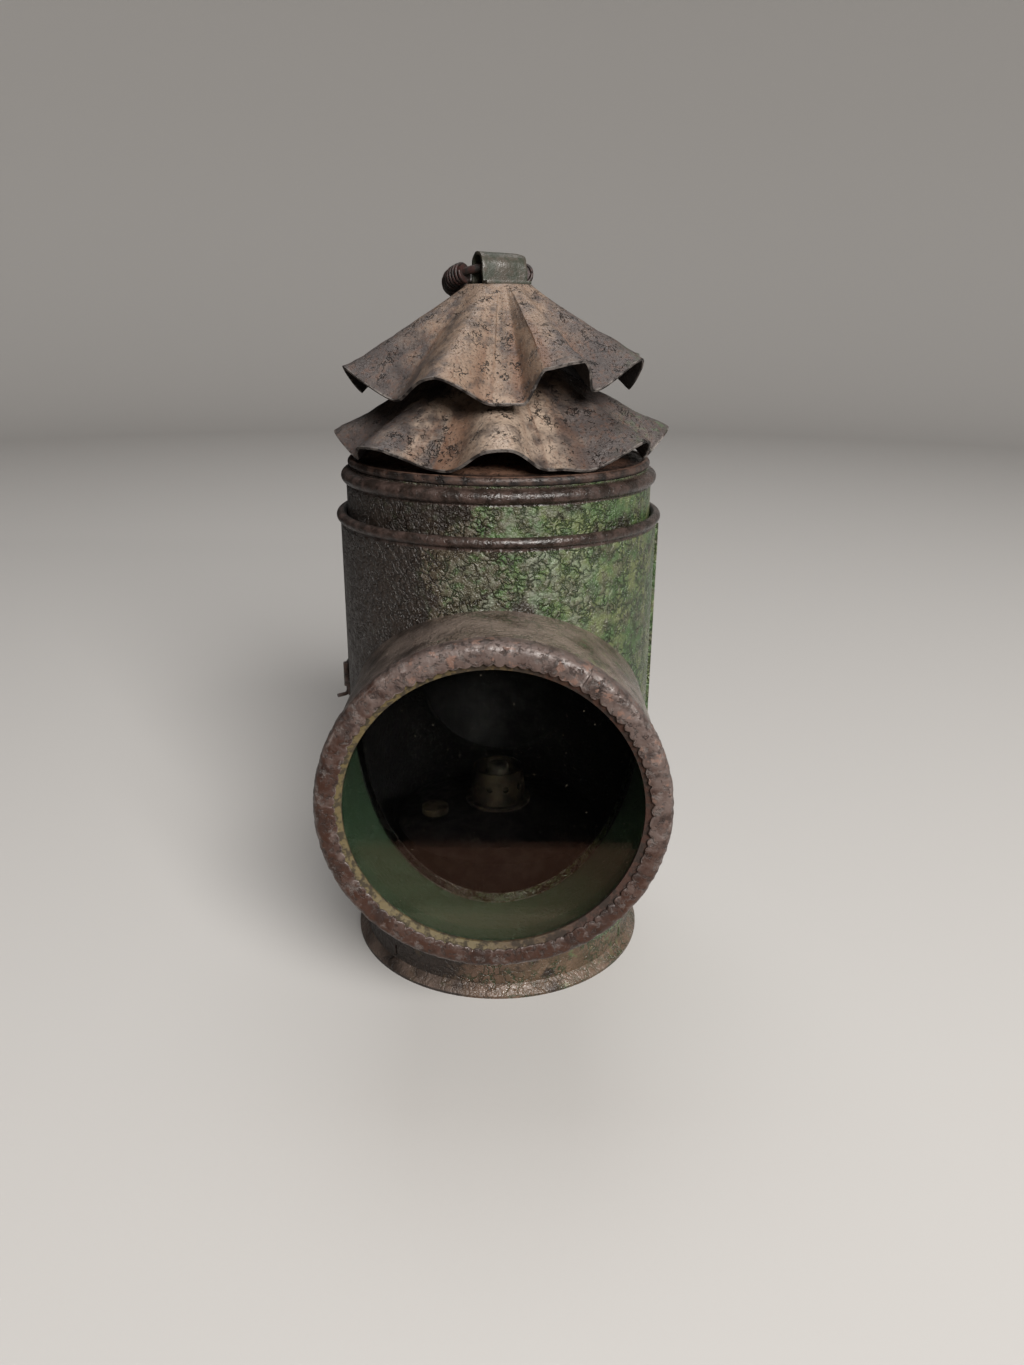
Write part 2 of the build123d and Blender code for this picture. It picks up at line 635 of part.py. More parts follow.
def nub_place():
    """Location of the catch's nub, with its own Z pointing out of the case."""
    return Pos(0, 0, CATCH_Z) * Rot(0, 0, NUB_ANGLE) * Rot(0, 90, 0)


def door_catch():
    """Spring tongue on the door's free edge, with a hole for the nub and a finger tab."""
    low, high = CATCH_Z - CATCH_WIDTH / 2, CATCH_Z + CATCH_WIDTH / 2
    outer = CATCH_R + CATCH_SHEET
    tongue = band(CATCH_R, outer, low, high, -CATCH_REACH, DOOR_INSET + DOOR_HEM_ANGLE)
    tongue += band(CATCH_R, outer + CATCH_TAB, low, high, -CATCH_REACH, CATCH_TAB_ANGLE - CATCH_REACH)
    return tongue - nub_place() * upright(CATCH_HOLE_R, CASE_R, outer + 1)


def catch_nub():
    """Button on the case that the catch snaps over."""
    nub = nub_place() * upright(NUB_R, CASE_INNER_R, CATCH_R - NUB_CLEARANCE)
    return nub - upright(CASE_R + SOLDER_GAP, 0, CASE_TOP)


def handle_route():
    """Centre line of the right handle: a loop that follows the door's curve."""
    ways = [Vector(-sin(radians(a)), cos(radians(a)), 0) for a in (HANDLE_NEAR_ANGLE, HANDLE_FAR_ANGLE)]
    near, far = [Vector(*round_case(HANDLE_R, a), 0) for a in (HANDLE_NEAR_ANGLE, HANDLE_FAR_ANGLE)]
    edges = []
    corner = HANDLE_CORNER
    up = Vector(0, 0, 1)
    flat = corner * (1 - sqrt(0.5))
    for place, way in ((near, ways[0]), (far, ways[1] * -1)):
        edges.append(Line(place + up * (HANDLE_LOW + corner), place + up * (HANDLE_HIGH - corner)))
        for height, rise in ((HANDLE_LOW, up), (HANDLE_HIGH, up * -1)):
            end = place + up * height
            edges.append(ThreePointArc(
                end + rise * corner, end + rise * flat + way * flat, end + way * corner,
            ))
    for height in (HANDLE_LOW, HANDLE_HIGH):
        start = near + ways[0] * corner + up * height
        edges.append(TangentArc(start, far - ways[1] * corner + up * height, tangent=ways[0]))
    return Wire(Wire.combine([Edge(edge.wrapped) for edge in edges])[0].edges())


def folding_handle():
    """Right-hand wire handle, folded against the door."""
    route = handle_route()
    section = Plane(origin=route @ 0, z_dir=route % 0) * Circle(HANDLE_WIRE_R)
    return sweep(section, path=route)


def handle_lugs():
    """Rolled lugs that hold one handle's pivot bar, soldered to the door."""
    lugs = []
    pad_inner = DOOR_OUTER_R + SOLDER_GAP
    for height in LUGS_Z:
        low, high = height - LUG_LENGTH / 2, height + LUG_LENGTH / 2
        place = round_case(HANDLE_R, HANDLE_NEAR_ANGLE)
        start, end = HANDLE_NEAR_ANGLE - LUG_PAD_ANGLE, HANDLE_NEAR_ANGLE + LUG_PAD_ANGLE
        lug = band(pad_inner, pad_inner + LUG_PAD, low, high, start, end)
        lug += upright(LUG_R, low, high, place)
        lug -= upright(LUG_BORE_R, low - 1, high + 1, place)
        lugs.append(lug.solid())
    return Compound(lugs)


def belt_clip():
    """Springy strip riveted to the door, open at its lower end."""
    stand = CLIP_Y + CLIP_STAND
    near = [
        (CLIP_Y, CLIP_TOP), (CLIP_Y, CLIP_KNEE), (stand, CLIP_KNEE - CLIP_STAND / 2),
        (stand, CLIP_LOW + CLIP_CURL), (stand + CLIP_CURL / 2, CLIP_LOW),
    ]
    far = [(y + CLIP_SHEET, z) for y, z in near]
    strip = extrude(Plane.YZ * outline(*near, *reversed(far)), amount=CLIP_WIDTH / 2, both=True)
    for height in RIVETS_Z:
        strip -= Pos(0, 0, height) * backward(RIVET_R + SOLDER_GAP, CLIP_Y + 2 * CLIP_SHEET)
    return strip


def clip_rivets():
    """Two rivets through the clip and the door."""
    outer = CLIP_Y + CLIP_SHEET
    rivets = []
    for height in RIVETS_Z:
        shank = upright(RIVET_R, DOOR_R, outer + RIVET_HEAD / 2)
        head = upright(RIVET_HEAD_R, outer + SOLDER_GAP, outer + SOLDER_GAP + RIVET_HEAD)
        head = chamfer(head.edges().sort_by(Axis.Z)[-1], RIVET_HEAD / 2)
        rivets.append((Pos(0, 0, height) * Rot(-90, 0, 0) * (shank + head)).solid())
    return Compound(rivets)


def font_socket():
    """Low ring on the base plate that holds the font in place."""
    return pipe(SOCKET_R, SOCKET_INNER_R, BASE_TOP, BASE_TOP + SOCKET_HEIGHT)


def font_pan():
    """Open pan of the oil font."""
    pan = upright(FONT_R, FONT_LOW, FONT_TOP)
    return pan - upright(FONT_R - FONT_SHEET, FONT_LOW + FONT_SHEET, FONT_TOP + 1)


def filler_floor():
    """Height of the font's shoulder at the filler."""
    return FONT_TOP + FONT_SHEET + (FONT_R - FILLER_CIRCLE_R) * SHOULDER_SLOPE


def font_top():
    """Sloping shoulder of the font, with its collar hole and filler neck."""
    bore = COLLAR_R - COLLAR_WALL
    under = SHOULDER_TOP - FONT_SHEET
    shoulder = turned(outline(
        (FONT_R, FONT_TOP), (FONT_R, FONT_TOP + FONT_SHEET), (COLLAR_FLANGE_R, SHOULDER_TOP),
        (bore, SHOULDER_TOP), (bore, under), (COLLAR_FLANGE_R, under),
        (FONT_R - FONT_SHEET, FONT_TOP),
    ))
    place = round_case(FILLER_CIRCLE_R, FILLER_ANGLE)
    floor = filler_floor()
    shoulder += upright(FILLER_R, floor - 2 * FONT_SHEET, floor + FILLER_STAND, place)
    return shoulder - upright(FILLER_R - FILLER_SHEET, FONT_LOW, floor + FILLER_STAND + 1, place)


def filler_cap():
    """Slip-on cap of the filler neck."""
    place = round_case(FILLER_CIRCLE_R, FILLER_ANGLE)
    top = filler_floor() + FILLER_STAND + SOLDER_GAP
    bore = FILLER_R + SOLDER_GAP
    cap = upright(bore + FILLER_SHEET, top - FILLER_STAND / 2, top + FILLER_SHEET, place)
    cap = chamfer(cap.edges().sort_by(Axis.Z)[-1], FILLER_SHEET / 2)
    return cap - upright(bore, FONT_LOW, top, place)


def burner_collar():
    """Plain collar that closes the font and grips the wick tube."""
    bore = WICK_TUBE_R + SOLDER_GAP
    flange = pipe(COLLAR_FLANGE_R, bore, COLLAR_LOW, COLLAR_LOW + COLLAR_FLANGE_SHEET)
    return flange + pipe(COLLAR_R, bore, COLLAR_LOW, COLLAR_TOP)


def wick_tube():
    """Tube that carries the wick up from the font."""
    return pipe(WICK_TUBE_R, WICK_TUBE_R - WICK_TUBE_SHEET, FONT_TOP - FONT_SHEET, WICK_TUBE_TOP)


def wick():
    """Round wick, from the bottom of the font to just above its tube."""
    body = upright(WICK_R, FONT_LOW + 2 * FONT_SHEET, WICK_TUBE_TOP + WICK_STAND)
    return fillet(body.edges().sort_by(Axis.Z)[-1], WICK_R / 3)


def draught_cone():
    """Pierced cone on the collar that steadies the air round the flame."""
    high = COLLAR_TOP + CONE_HEIGHT
    cone = turned(outline(
        (COLLAR_R, COLLAR_TOP), (CONE_TOP_R, high), (CONE_TOP_R - CONE_SHEET, high),
        (COLLAR_R - CONE_SHEET, COLLAR_TOP),
    ))
    hole = Pos(0, 0, COLLAR_TOP + CONE_HEIGHT / 3) * Rot(0, 90, 0) * upright(CONE_HOLE_R, 0, 2 * COLLAR_R)
    for number in range(CONE_HOLES):
        cone -= Rot(0, 0, number * 360 / CONE_HOLES) * hole
    return cone


def reflector():
    """Polished dish behind the flame."""
    curve = REFLECTOR_CURVE_R
    centre = REFLECTOR_BACK - curve
    rim = centre + sqrt(curve ** 2 - REFLECTOR_R ** 2)
    ball = Sphere(curve) - Sphere(curve - REFLECTOR_SHEET)
    dish = Pos(0, centre, LENS_Z) * ball
    keep = Pos(0, 0, LENS_Z) * Rot(-90, 0, 0) * upright(REFLECTOR_R, rim, REFLECTOR_BACK + 1)
    return dish & keep


def reflector_bracket():
    """Strip that stands on the font's shoulder and carries the reflector."""
    near = REFLECTOR_BACK + SOLDER_GAP
    far = near + BRACKET_SHEET
    foot = near - BRACKET_FOOT

    def floor(y):
        return FONT_TOP + FONT_SHEET + SOLDER_GAP + (FONT_R - y) * SHOULDER_SLOPE

    profile = outline(
        (far, floor(far)), (far, LENS_Z), (near, LENS_Z), (near, floor(near) + BRACKET_SHEET),
        (foot, floor(foot) + BRACKET_SHEET), (foot, floor(foot)),
    )
    return extrude(Plane.YZ * profile, amount=BRACKET_WIDTH / 2, both=True)


def all_nodes():
    """Every node of the lantern by name."""
    handle_right, handle_left = mirrored_pair(folding_handle())
    lugs_right, lugs_left = mirrored_pair(handle_lugs())
    return {
        "foot_ring": foot_ring(),
        "base_plate": base_plate(),
        "case_shell": case_shell(),
        "rim_wire": rim_wire(),
        "lens_tube": lens_tube(),
        "lens_seat_ring": lens_seat_ring(),
        "lens_glass": lens_glass(),
        "lens_packing": lens_packing(),
        "lens_bezel": lens_bezel(),
        "shutter_cylinder": shutter_cylinder(),
        "cap_plate": cap_plate(),
        "chimney_core": chimney_core(),
        "lower_bell": lower_bell(),
        "upper_bell": upper_bell(),
        "ring_strap": ring_strap(),
        "carry_ring": carry_ring(),
        "ring_winding": ring_winding(),
        "door_panel": door_panel(),
        "case_hinges": case_hinges(),
        "door_hinges": door_hinges(),
        "hinge_pins": hinge_pins(),
        "door_catch": door_catch(),
        "catch_nub": catch_nub(),
        "handle_right": handle_right,
        "handle_left": handle_left,
        "lugs_right": lugs_right,
        "lugs_left": lugs_left,
        "belt_clip": belt_clip(),
        "clip_rivets": clip_rivets(),
        "font_socket": font_socket(),
        "font_pan": font_pan(),
        "font_top": font_top(),
        "filler_cap": filler_cap(),
        "burner_collar": burner_collar(),
        "wick_tube": wick_tube(),
        "wick": wick(),
        "draught_cone": draught_cone(),
        "reflector": reflector(),
        "reflector_bracket": reflector_bracket(),
    }


os.makedirs("parts", exist_ok=True)
for name, shape in all_nodes().items():
    export_step(shape, f"parts/{name}.step")
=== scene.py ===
"""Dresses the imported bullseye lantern: finishes, hand-shaped tin pieces, floor, light and camera.

Everything is in metres in the CAD frame: +Z is up, the lens looks along -Y, and the origin is the
centre of the foot's underside.
"""
import json
import logging
import math
import random
from dataclasses import dataclass
from enum import Enum

import bpy
from mathutils import Matrix, Vector, noise

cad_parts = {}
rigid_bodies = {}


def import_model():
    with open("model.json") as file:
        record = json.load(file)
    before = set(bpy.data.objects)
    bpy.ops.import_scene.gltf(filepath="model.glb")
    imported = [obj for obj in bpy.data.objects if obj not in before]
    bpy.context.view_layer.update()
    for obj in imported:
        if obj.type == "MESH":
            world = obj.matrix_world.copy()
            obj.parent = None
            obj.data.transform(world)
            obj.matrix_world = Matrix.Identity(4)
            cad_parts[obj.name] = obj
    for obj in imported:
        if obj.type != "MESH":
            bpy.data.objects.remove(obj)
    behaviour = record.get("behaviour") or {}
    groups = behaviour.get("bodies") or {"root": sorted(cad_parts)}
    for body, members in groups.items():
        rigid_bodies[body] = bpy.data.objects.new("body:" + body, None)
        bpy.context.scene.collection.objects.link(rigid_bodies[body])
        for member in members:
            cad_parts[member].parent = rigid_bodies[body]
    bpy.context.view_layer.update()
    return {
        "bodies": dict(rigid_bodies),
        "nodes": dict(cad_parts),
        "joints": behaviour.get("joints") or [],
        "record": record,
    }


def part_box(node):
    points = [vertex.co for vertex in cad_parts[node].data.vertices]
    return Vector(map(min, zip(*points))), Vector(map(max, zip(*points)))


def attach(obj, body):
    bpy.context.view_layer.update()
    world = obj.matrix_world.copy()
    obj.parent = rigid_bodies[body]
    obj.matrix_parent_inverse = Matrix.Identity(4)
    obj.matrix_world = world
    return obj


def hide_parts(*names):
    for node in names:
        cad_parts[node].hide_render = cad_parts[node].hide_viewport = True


log = logging.getLogger("lantern")
MM = 0.001
DEGREES_IN_RADIAN = 57.3
Colour = tuple[float, float, float]
Point = tuple[float, float, float]
# A rim point of a bell: degrees round the case, radius and drop in mm, and sharpness from 0 to 1.
Flute = tuple[float, float, float, float]
Socket = bpy.types.NodeSocket


class Body(Enum):
    """Rigid bodies of the lantern."""

    CASE = "case"
    SHUTTER = "shutter"
    RING = "carry_ring"


class Graph:
    """Adds shader nodes to one tree and joins them."""

    def __init__(self, tree: bpy.types.NodeTree) -> None:
        """Keeps the node tree to add to."""
        self.tree = tree

    def add(self, kind: str, **settings: object) -> bpy.types.Node:
        """Adds one node.

        Args:
            kind: the node's type name without its ShaderNode prefix.
            settings: attributes to set on it.

        Returns:
            The new node.
        """
        node = self.tree.nodes.new("ShaderNode" + kind)
        for name, value in settings.items():
            setattr(node, name, value)
        return node

    def feed(self, socket: Socket, value: object) -> None:
        """Joins a value to a socket, or sets it.

        Args:
            socket: the input.
            value: another node's output, a number, or a colour of three numbers.
        """
        if isinstance(value, bpy.types.NodeSocket):
            self.tree.links.new(value, socket)
        elif socket.type == "RGBA":
            socket.default_value = (*value, 1.0)
        else:
            socket.default_value = value

    def combine(self, operation: str, a: object, b: object = 0.0, clamp: bool = False) -> Socket:
        """Combines two values.

        Args:
            operation: the Math node's operation.
            a: first value.
            b: second value.
            clamp: keep the result from 0 to 1.

        Returns:
            The result.
        """
        node = self.add("Math", operation=operation, use_clamp=clamp)
        self.feed(node.inputs[0], a)
        self.feed(node.inputs[1], b)
        return node.outputs[0]

    def plus(self, a: object, b: object) -> Socket:
        """Sum of two values."""
        return self.combine("ADD", a, b)

    def minus(self, a: object, b: object) -> Socket:
        """First value less the second."""
        return self.combine("SUBTRACT", a, b)

    def times(self, a: object, b: object) -> Socket:
        """Product of two values."""
        return self.combine("MULTIPLY", a, b)

    def largest(self, a: object, b: object) -> Socket:
        """The larger of two values."""
        return self.combine("MAXIMUM", a, b)

    def vector(self, operation: str, a: object, b: object = None) -> Socket:
        """Combines two vectors.

        Args:
            operation: the Vector Math node's operation.
            a: first vector.
            b: second vector, the number to scale by, or nothing where only one vector goes in.

        Returns:
            The result, a number for a dot product.
        """
        node = self.add("VectorMath", operation=operation)
        self.feed(node.inputs[0], a)
        if b is not None:
            self.feed(node.inputs["Scale" if operation == "SCALE" else 1], b)
        return node.outputs["Value" if operation == "DOT_PRODUCT" else "Vector"]

    def ramp(self, value: object, low: object, high: object, start: float = 0.0, end: float = 1.0) -> Socket:
        """Maps a value from one range to another with soft ends.

        Args:
            value: what to map.
            low: value that gives start.
            high: value that gives end.
            start: result at low.
            end: result at high.

        Returns:
            The mapped value.
        """
        node = self.add("MapRange", interpolation_type="SMOOTHSTEP")
        for socket, number in zip(node.inputs, (value, low, high, start, end)):
            self.feed(socket, number)
        return node.outputs[0]

    def mix(self, mask: object, a: object, b: object, share: float = 1.0) -> Socket:
        """Lays one colour over another.

        Args:
            mask: where the second colour lies.
            a: first colour.
            b: second colour.
            share: how much of it shows where the mask is 1.

        Returns:
            The mixed colour.
        """
        node = self.add("Mix", data_type="RGBA", clamp_factor=True)
        self.feed(node.inputs[0], mask if share == 1.0 else self.times(mask, share))
        self.feed(node.inputs[6], a)
        self.feed(node.inputs[7], b)
        return node.outputs[2]

    def texture(self, vector: Socket, scale: object, detail: float, rough: float = 0.5) -> bpy.types.Node:
        """Adds a noise texture.

        Args:
            vector: where to read it.
            scale: number of its features in a metre.
            detail: number of finer layers.
            rough: strength of the finer layers.

        Returns:
            The texture node, whose first output is a value about 0.5.
        """
        node = self.add("TexNoise")
        for name, value in zip(("Vector", "Scale", "Detail", "Roughness"), (vector, scale, detail, rough)):
            self.feed(node.inputs[name], value)
        return node

    def noise(self, vector: Socket, size_mm: float, detail: float = 4.0, rough: float = 0.55) -> Socket:
        """Value about 0.5 with features of about one size."""
        return self.texture(vector, 1 / (size_mm * MM), detail, rough).outputs[0]

    def drift(
        self, vector: Socket, size_mm: float, width: float, detail: float = 4.0, rough: float = 0.55,
    ) -> Socket:
        """Noise about zero that spans about the given width."""
        return self.times(self.minus(self.noise(vector, size_mm, detail, rough), 0.5), width)

    def place(self) -> Socket:
        """Object coordinates of the surface."""
        return self.add("TexCoord").outputs["Object"]

    def axis(self, vector: Socket, index: int) -> Socket:
        """One of a vector's three numbers."""
        node = self.add("SeparateXYZ")
        self.feed(node.inputs[0], vector)
        return node.outputs[index]

    def facing(self) -> Socket:
        """Normal of the surface in its own object's frame."""
        return self.add("TexCoord").outputs["Normal"]

    def inward(self, centre: Point, keep: Point) -> Socket:
        """How far a surface faces the axis of its own tube.

        Args:
            centre: a point on the axis.
            keep: 1 for each direction across the axis, 0 along it.

        Returns:
            1 on the inner wall, 0 on the outer one.
        """
        across = self.vector("MULTIPLY", self.vector("SUBTRACT", self.place(), centre), keep)
        outward = self.vector("DOT_PRODUCT", self.vector("NORMALIZE", across), self.facing())
        return self.ramp(outward, -0.15, -0.5)

    def streaks(self, size_deg: float, length_mm: float) -> Socket:
        """Noise drawn out along the slope of a cone round Z.

        Args:
            size_deg: width of a streak round the axis.
            length_mm: length of a streak down the axis.

        Returns:
            A value about 0.5.
        """
        round_axis = self.vector("NORMALIZE", self.vector("MULTIPLY", self.place(), (1, 1, 0)))
        down = self.add("CombineXYZ")
        self.feed(down.inputs[2], self.times(self.axis(self.place(), 2), 1 / (length_mm * MM)))
        wide = self.vector("SCALE", round_axis, DEGREES_IN_RADIAN / size_deg)
        return self.texture(self.vector("ADD", wide, down.outputs[0]), 1.0, 5.0).outputs[0]

    def bump(
        self, height: object, depth_mm: float, strength: float = 1.0, normal: Socket | None = None,
    ) -> Socket:
        """Relief from a height.

        Args:
            height: the height, 0 to 1.
            depth_mm: what a height of 1 stands for.
            strength: how strongly it shades.
            normal: relief to add to.

        Returns:
            The new normal.
        """
        node = self.add("Bump")
        self.feed(node.inputs["Height"], height)
        self.feed(node.inputs["Distance"], depth_mm * MM)
        self.feed(node.inputs["Strength"], strength)
        if normal is not None:
            self.feed(node.inputs["Normal"], normal)
        return node.outputs[0]


class Effects:
    """Surface effects that several finishes share, each a node group built once."""

    def __init__(self) -> None:
        """Builds every group."""
        self.patches = self.build_patches()
        self.crackle = self.build_crackle()
        self.wear = self.build_wear()
        self.dust = self.build_dust()

    @staticmethod
    def start(name: str, inputs: dict[str, object], outputs: tuple[str, ...]) -> tuple[Graph, dict, dict]:
        """Makes an empty group.

        Args:
            name: the group's name.
            inputs: input names with their first values; a vector input has None.
            outputs: output names, each a number.

        Returns:
            Its graph, its inputs and its outputs by name.
        """
        tree = bpy.data.node_groups.new(name, "ShaderNodeTree")
        for label, value in inputs.items():
            kind = "NodeSocketVector" if value is None else "NodeSocketFloat"
            socket = tree.interface.new_socket(label, in_out="INPUT", socket_type=kind)
            if value is not None:
                socket.default_value = value
        for label in outputs:
            tree.interface.new_socket(label, in_out="OUTPUT", socket_type="NodeSocketFloat")
        source = tree.nodes.new("NodeGroupInput")
        sink = tree.nodes.new("NodeGroupOutput")
        return Graph(tree), {s.name: s for s in source.outputs}, {s.name: s for s in sink.inputs}

    def build_patches(self) -> bpy.types.NodeTree:
        """Blotches with ragged edges: Mask is 1 in a patch."""
        g, given, out = self.start(
            "patches", {"Vector": None, "Scale": 200.0, "Cover": 0.5, "Edge": 0.05}, ("Mask", "Value"),
        )
        value = g.texture(given["Vector"], given["Scale"], 7.0, 0.62).outputs[0]
        level = g.ramp(given["Cover"], 0.0, 1.0, 0.72, 0.28)
        level.node.interpolation_type = "LINEAR"
        mask = g.ramp(value, g.minus(level, given["Edge"]), g.plus(level, given["Edge"]))
        g.feed(out["Mask"], mask)
        g.feed(out["Value"], value)
        return g.tree

    def build_crackle(self) -> bpy.types.NodeTree:
        """Crackled paint: Crack is 1 in a crack, Height rises over each flake, Flake is its own value."""
        g, given, out = self.start(
            "crackle", {"Vector": None, "Scale": 300.0, "Width": 0.08, "Wander": 0.6},
            ("Crack", "Height", "Flake"),
        )
        scaled = g.vector("SCALE", given["Vector"], given["Scale"])
        swirl = g.vector("SUBTRACT", g.texture(scaled, 1.1, 3.0).outputs["Color"], (0.5, 0.5, 0.5))
        spread = g.add("CombineXYZ")
        wide = g.times(given["Wander"], 3.0)
        for socket in spread.inputs:
            g.feed(socket, wide)
        moved = g.add("VectorMath", operation="MULTIPLY_ADD")
        for socket, value in zip(moved.inputs, (swirl, spread.outputs[0], scaled)):
            g.feed(socket, value)
        edge = g.add("TexVoronoi", feature="DISTANCE_TO_EDGE")
        cell = g.add("TexVoronoi", feature="F1")
        for node in (edge, cell):
            g.feed(node.inputs["Vector"], moved.outputs[0])
            g.feed(node.inputs["Scale"], 1.0)
        g.feed(out["Crack"], g.ramp(edge.outputs["Distance"], 0.0, given["Width"], 1.0, 0.0))
        g.feed(out["Height"], g.ramp(edge.outputs["Distance"], 0.0, 0.35))
        tint = g.add("SeparateColor")
        g.feed(tint.inputs[0], cell.outputs["Color"])
        g.feed(out["Flake"], tint.outputs[0])
        return g.tree

    def build_wear(self) -> bpy.types.NodeTree:
        """Rubbed edges: Mask is 1 where the surface turns sharply."""
        g, given, out = self.start(
            "edge_wear", {"Vector": None, "Scale": 400.0, "Reach": 0.0006, "Amount": 1.0}, ("Mask",),
        )
        bevel = g.add("Bevel", samples=4)
        g.feed(bevel.inputs["Radius"], given["Reach"])
        alike = g.vector("DOT_PRODUCT", bevel.outputs[0], g.add("NewGeometry").outputs["Normal"])
        grain = g.texture(given["Vector"], given["Scale"], 5.0).outputs[0]
        broken = g.times(g.ramp(alike, 0.995, 0.86), g.ramp(grain, 0.38, 0.58))
        g.feed(out["Mask"], g.combine("MULTIPLY", broken, given["Amount"], clamp=True))
        return g.tree

    def build_dust(self) -> bpy.types.NodeTree:
        """Settled dust: Mask is 1 on surfaces that face up."""
        g, given, out = self.start(
            "settled_dust", {"Vector": None, "Scale": 150.0, "Amount": 1.0}, ("Mask",),
        )
        lying = g.ramp(g.axis(g.facing(), 2), -0.1, 0.9)
        cloud = g.texture(given["Vector"], given["Scale"], 6.0).outputs[0]
        uneven = g.times(lying, g.ramp(cloud, 0.3, 0.7))
        g.feed(out["Mask"], g.combine("MULTIPLY", uneven, given["Amount"], clamp=True))
        return g.tree

    @staticmethod
    def call(g: Graph, group: bpy.types.NodeTree, place: Socket, size_mm: float, **values: object) -> dict:
        """Places a group with features of one size.

        Args:
            g: the graph to place it in.
            group: the group.
            place: where on the surface to read it.
            size_mm: size of its features.
            values: its other inputs by name.

        Returns:
            Its outputs by name.
        """
        node = g.add("Group", node_tree=group)
        for name, value in {"Vector": place, "Scale": 1 / (size_mm * MM), **values}.items():
            g.feed(node.inputs[name], value)
        return {socket.name: socket for socket in node.outputs}

    def blotches(self, g: Graph, place: Socket, size_mm: float, cover: object, edge: float) -> Socket:
        """Mask of ragged blotches of one size."""
        return self.call(g, self.patches, place, size_mm, Cover=cover, Edge=edge)["Mask"]

    def cracks(self, g: Graph, place: Socket, flake_mm: float, width: float, wander: float) -> dict:
        """Cracks round flakes of one size, as Crack, Height and Flake."""
        return self.call(g, self.crackle, place, flake_mm, Width=width, Wander=wander)

    def rubbed(self, g: Graph, place: Socket, grain_mm: float, reach_mm: float, amount: float) -> Socket:
        """Mask of rubbed edges, broken up by a grain."""
        return self.call(g, self.wear, place, grain_mm, Reach=reach_mm * MM, Amount=amount)["Mask"]

    def settled(self, g: Graph, place: Socket, size_mm: float, amount: float) -> Socket:
        """Mask of settled dust in clouds of one size."""
        return self.call(g, self.dust, place, size_mm, Amount=amount)["Mask"]


def new_material(name: str) -> tuple[bpy.types.Material, bpy.types.Node]:
    """Makes a material.

    Args:
        name: its name.

    Returns:
        The material and its main shader.
    """
    material = bpy.data.materials.new(name)
    material.use_nodes = True
    return material, next(n for n in material.node_tree.nodes if n.type == "BSDF_PRINCIPLED")


def bare_bead(g: Graph, place: Socket, dark: Colour, bead: Colour) -> Socket:
    """Colour of a rolled edge that has lost its paint."""
    return g.mix(g.ramp(g.noise(place, 3.5, 6.0, 0.65), 0.40, 0.62), dark, bead)


class Finish:
    """A procedural finish. Each kind below fills in its own surface."""

    def make(self, name: str, effects: Effects) -> bpy.types.Material:
        """Builds the material.

        Args:
            name: the material's name.
            effects: the shared effects.

        Returns:
            The material.
        """
        material, shader = new_material(name)
        self.paint(Graph(material.node_tree), shader, effects)
        return material

    def paint(self, g: Graph, shader: bpy.types.Node, effects: Effects) -> None:
        """Fills in the shader; each finish has its own."""
        raise NotImplementedError


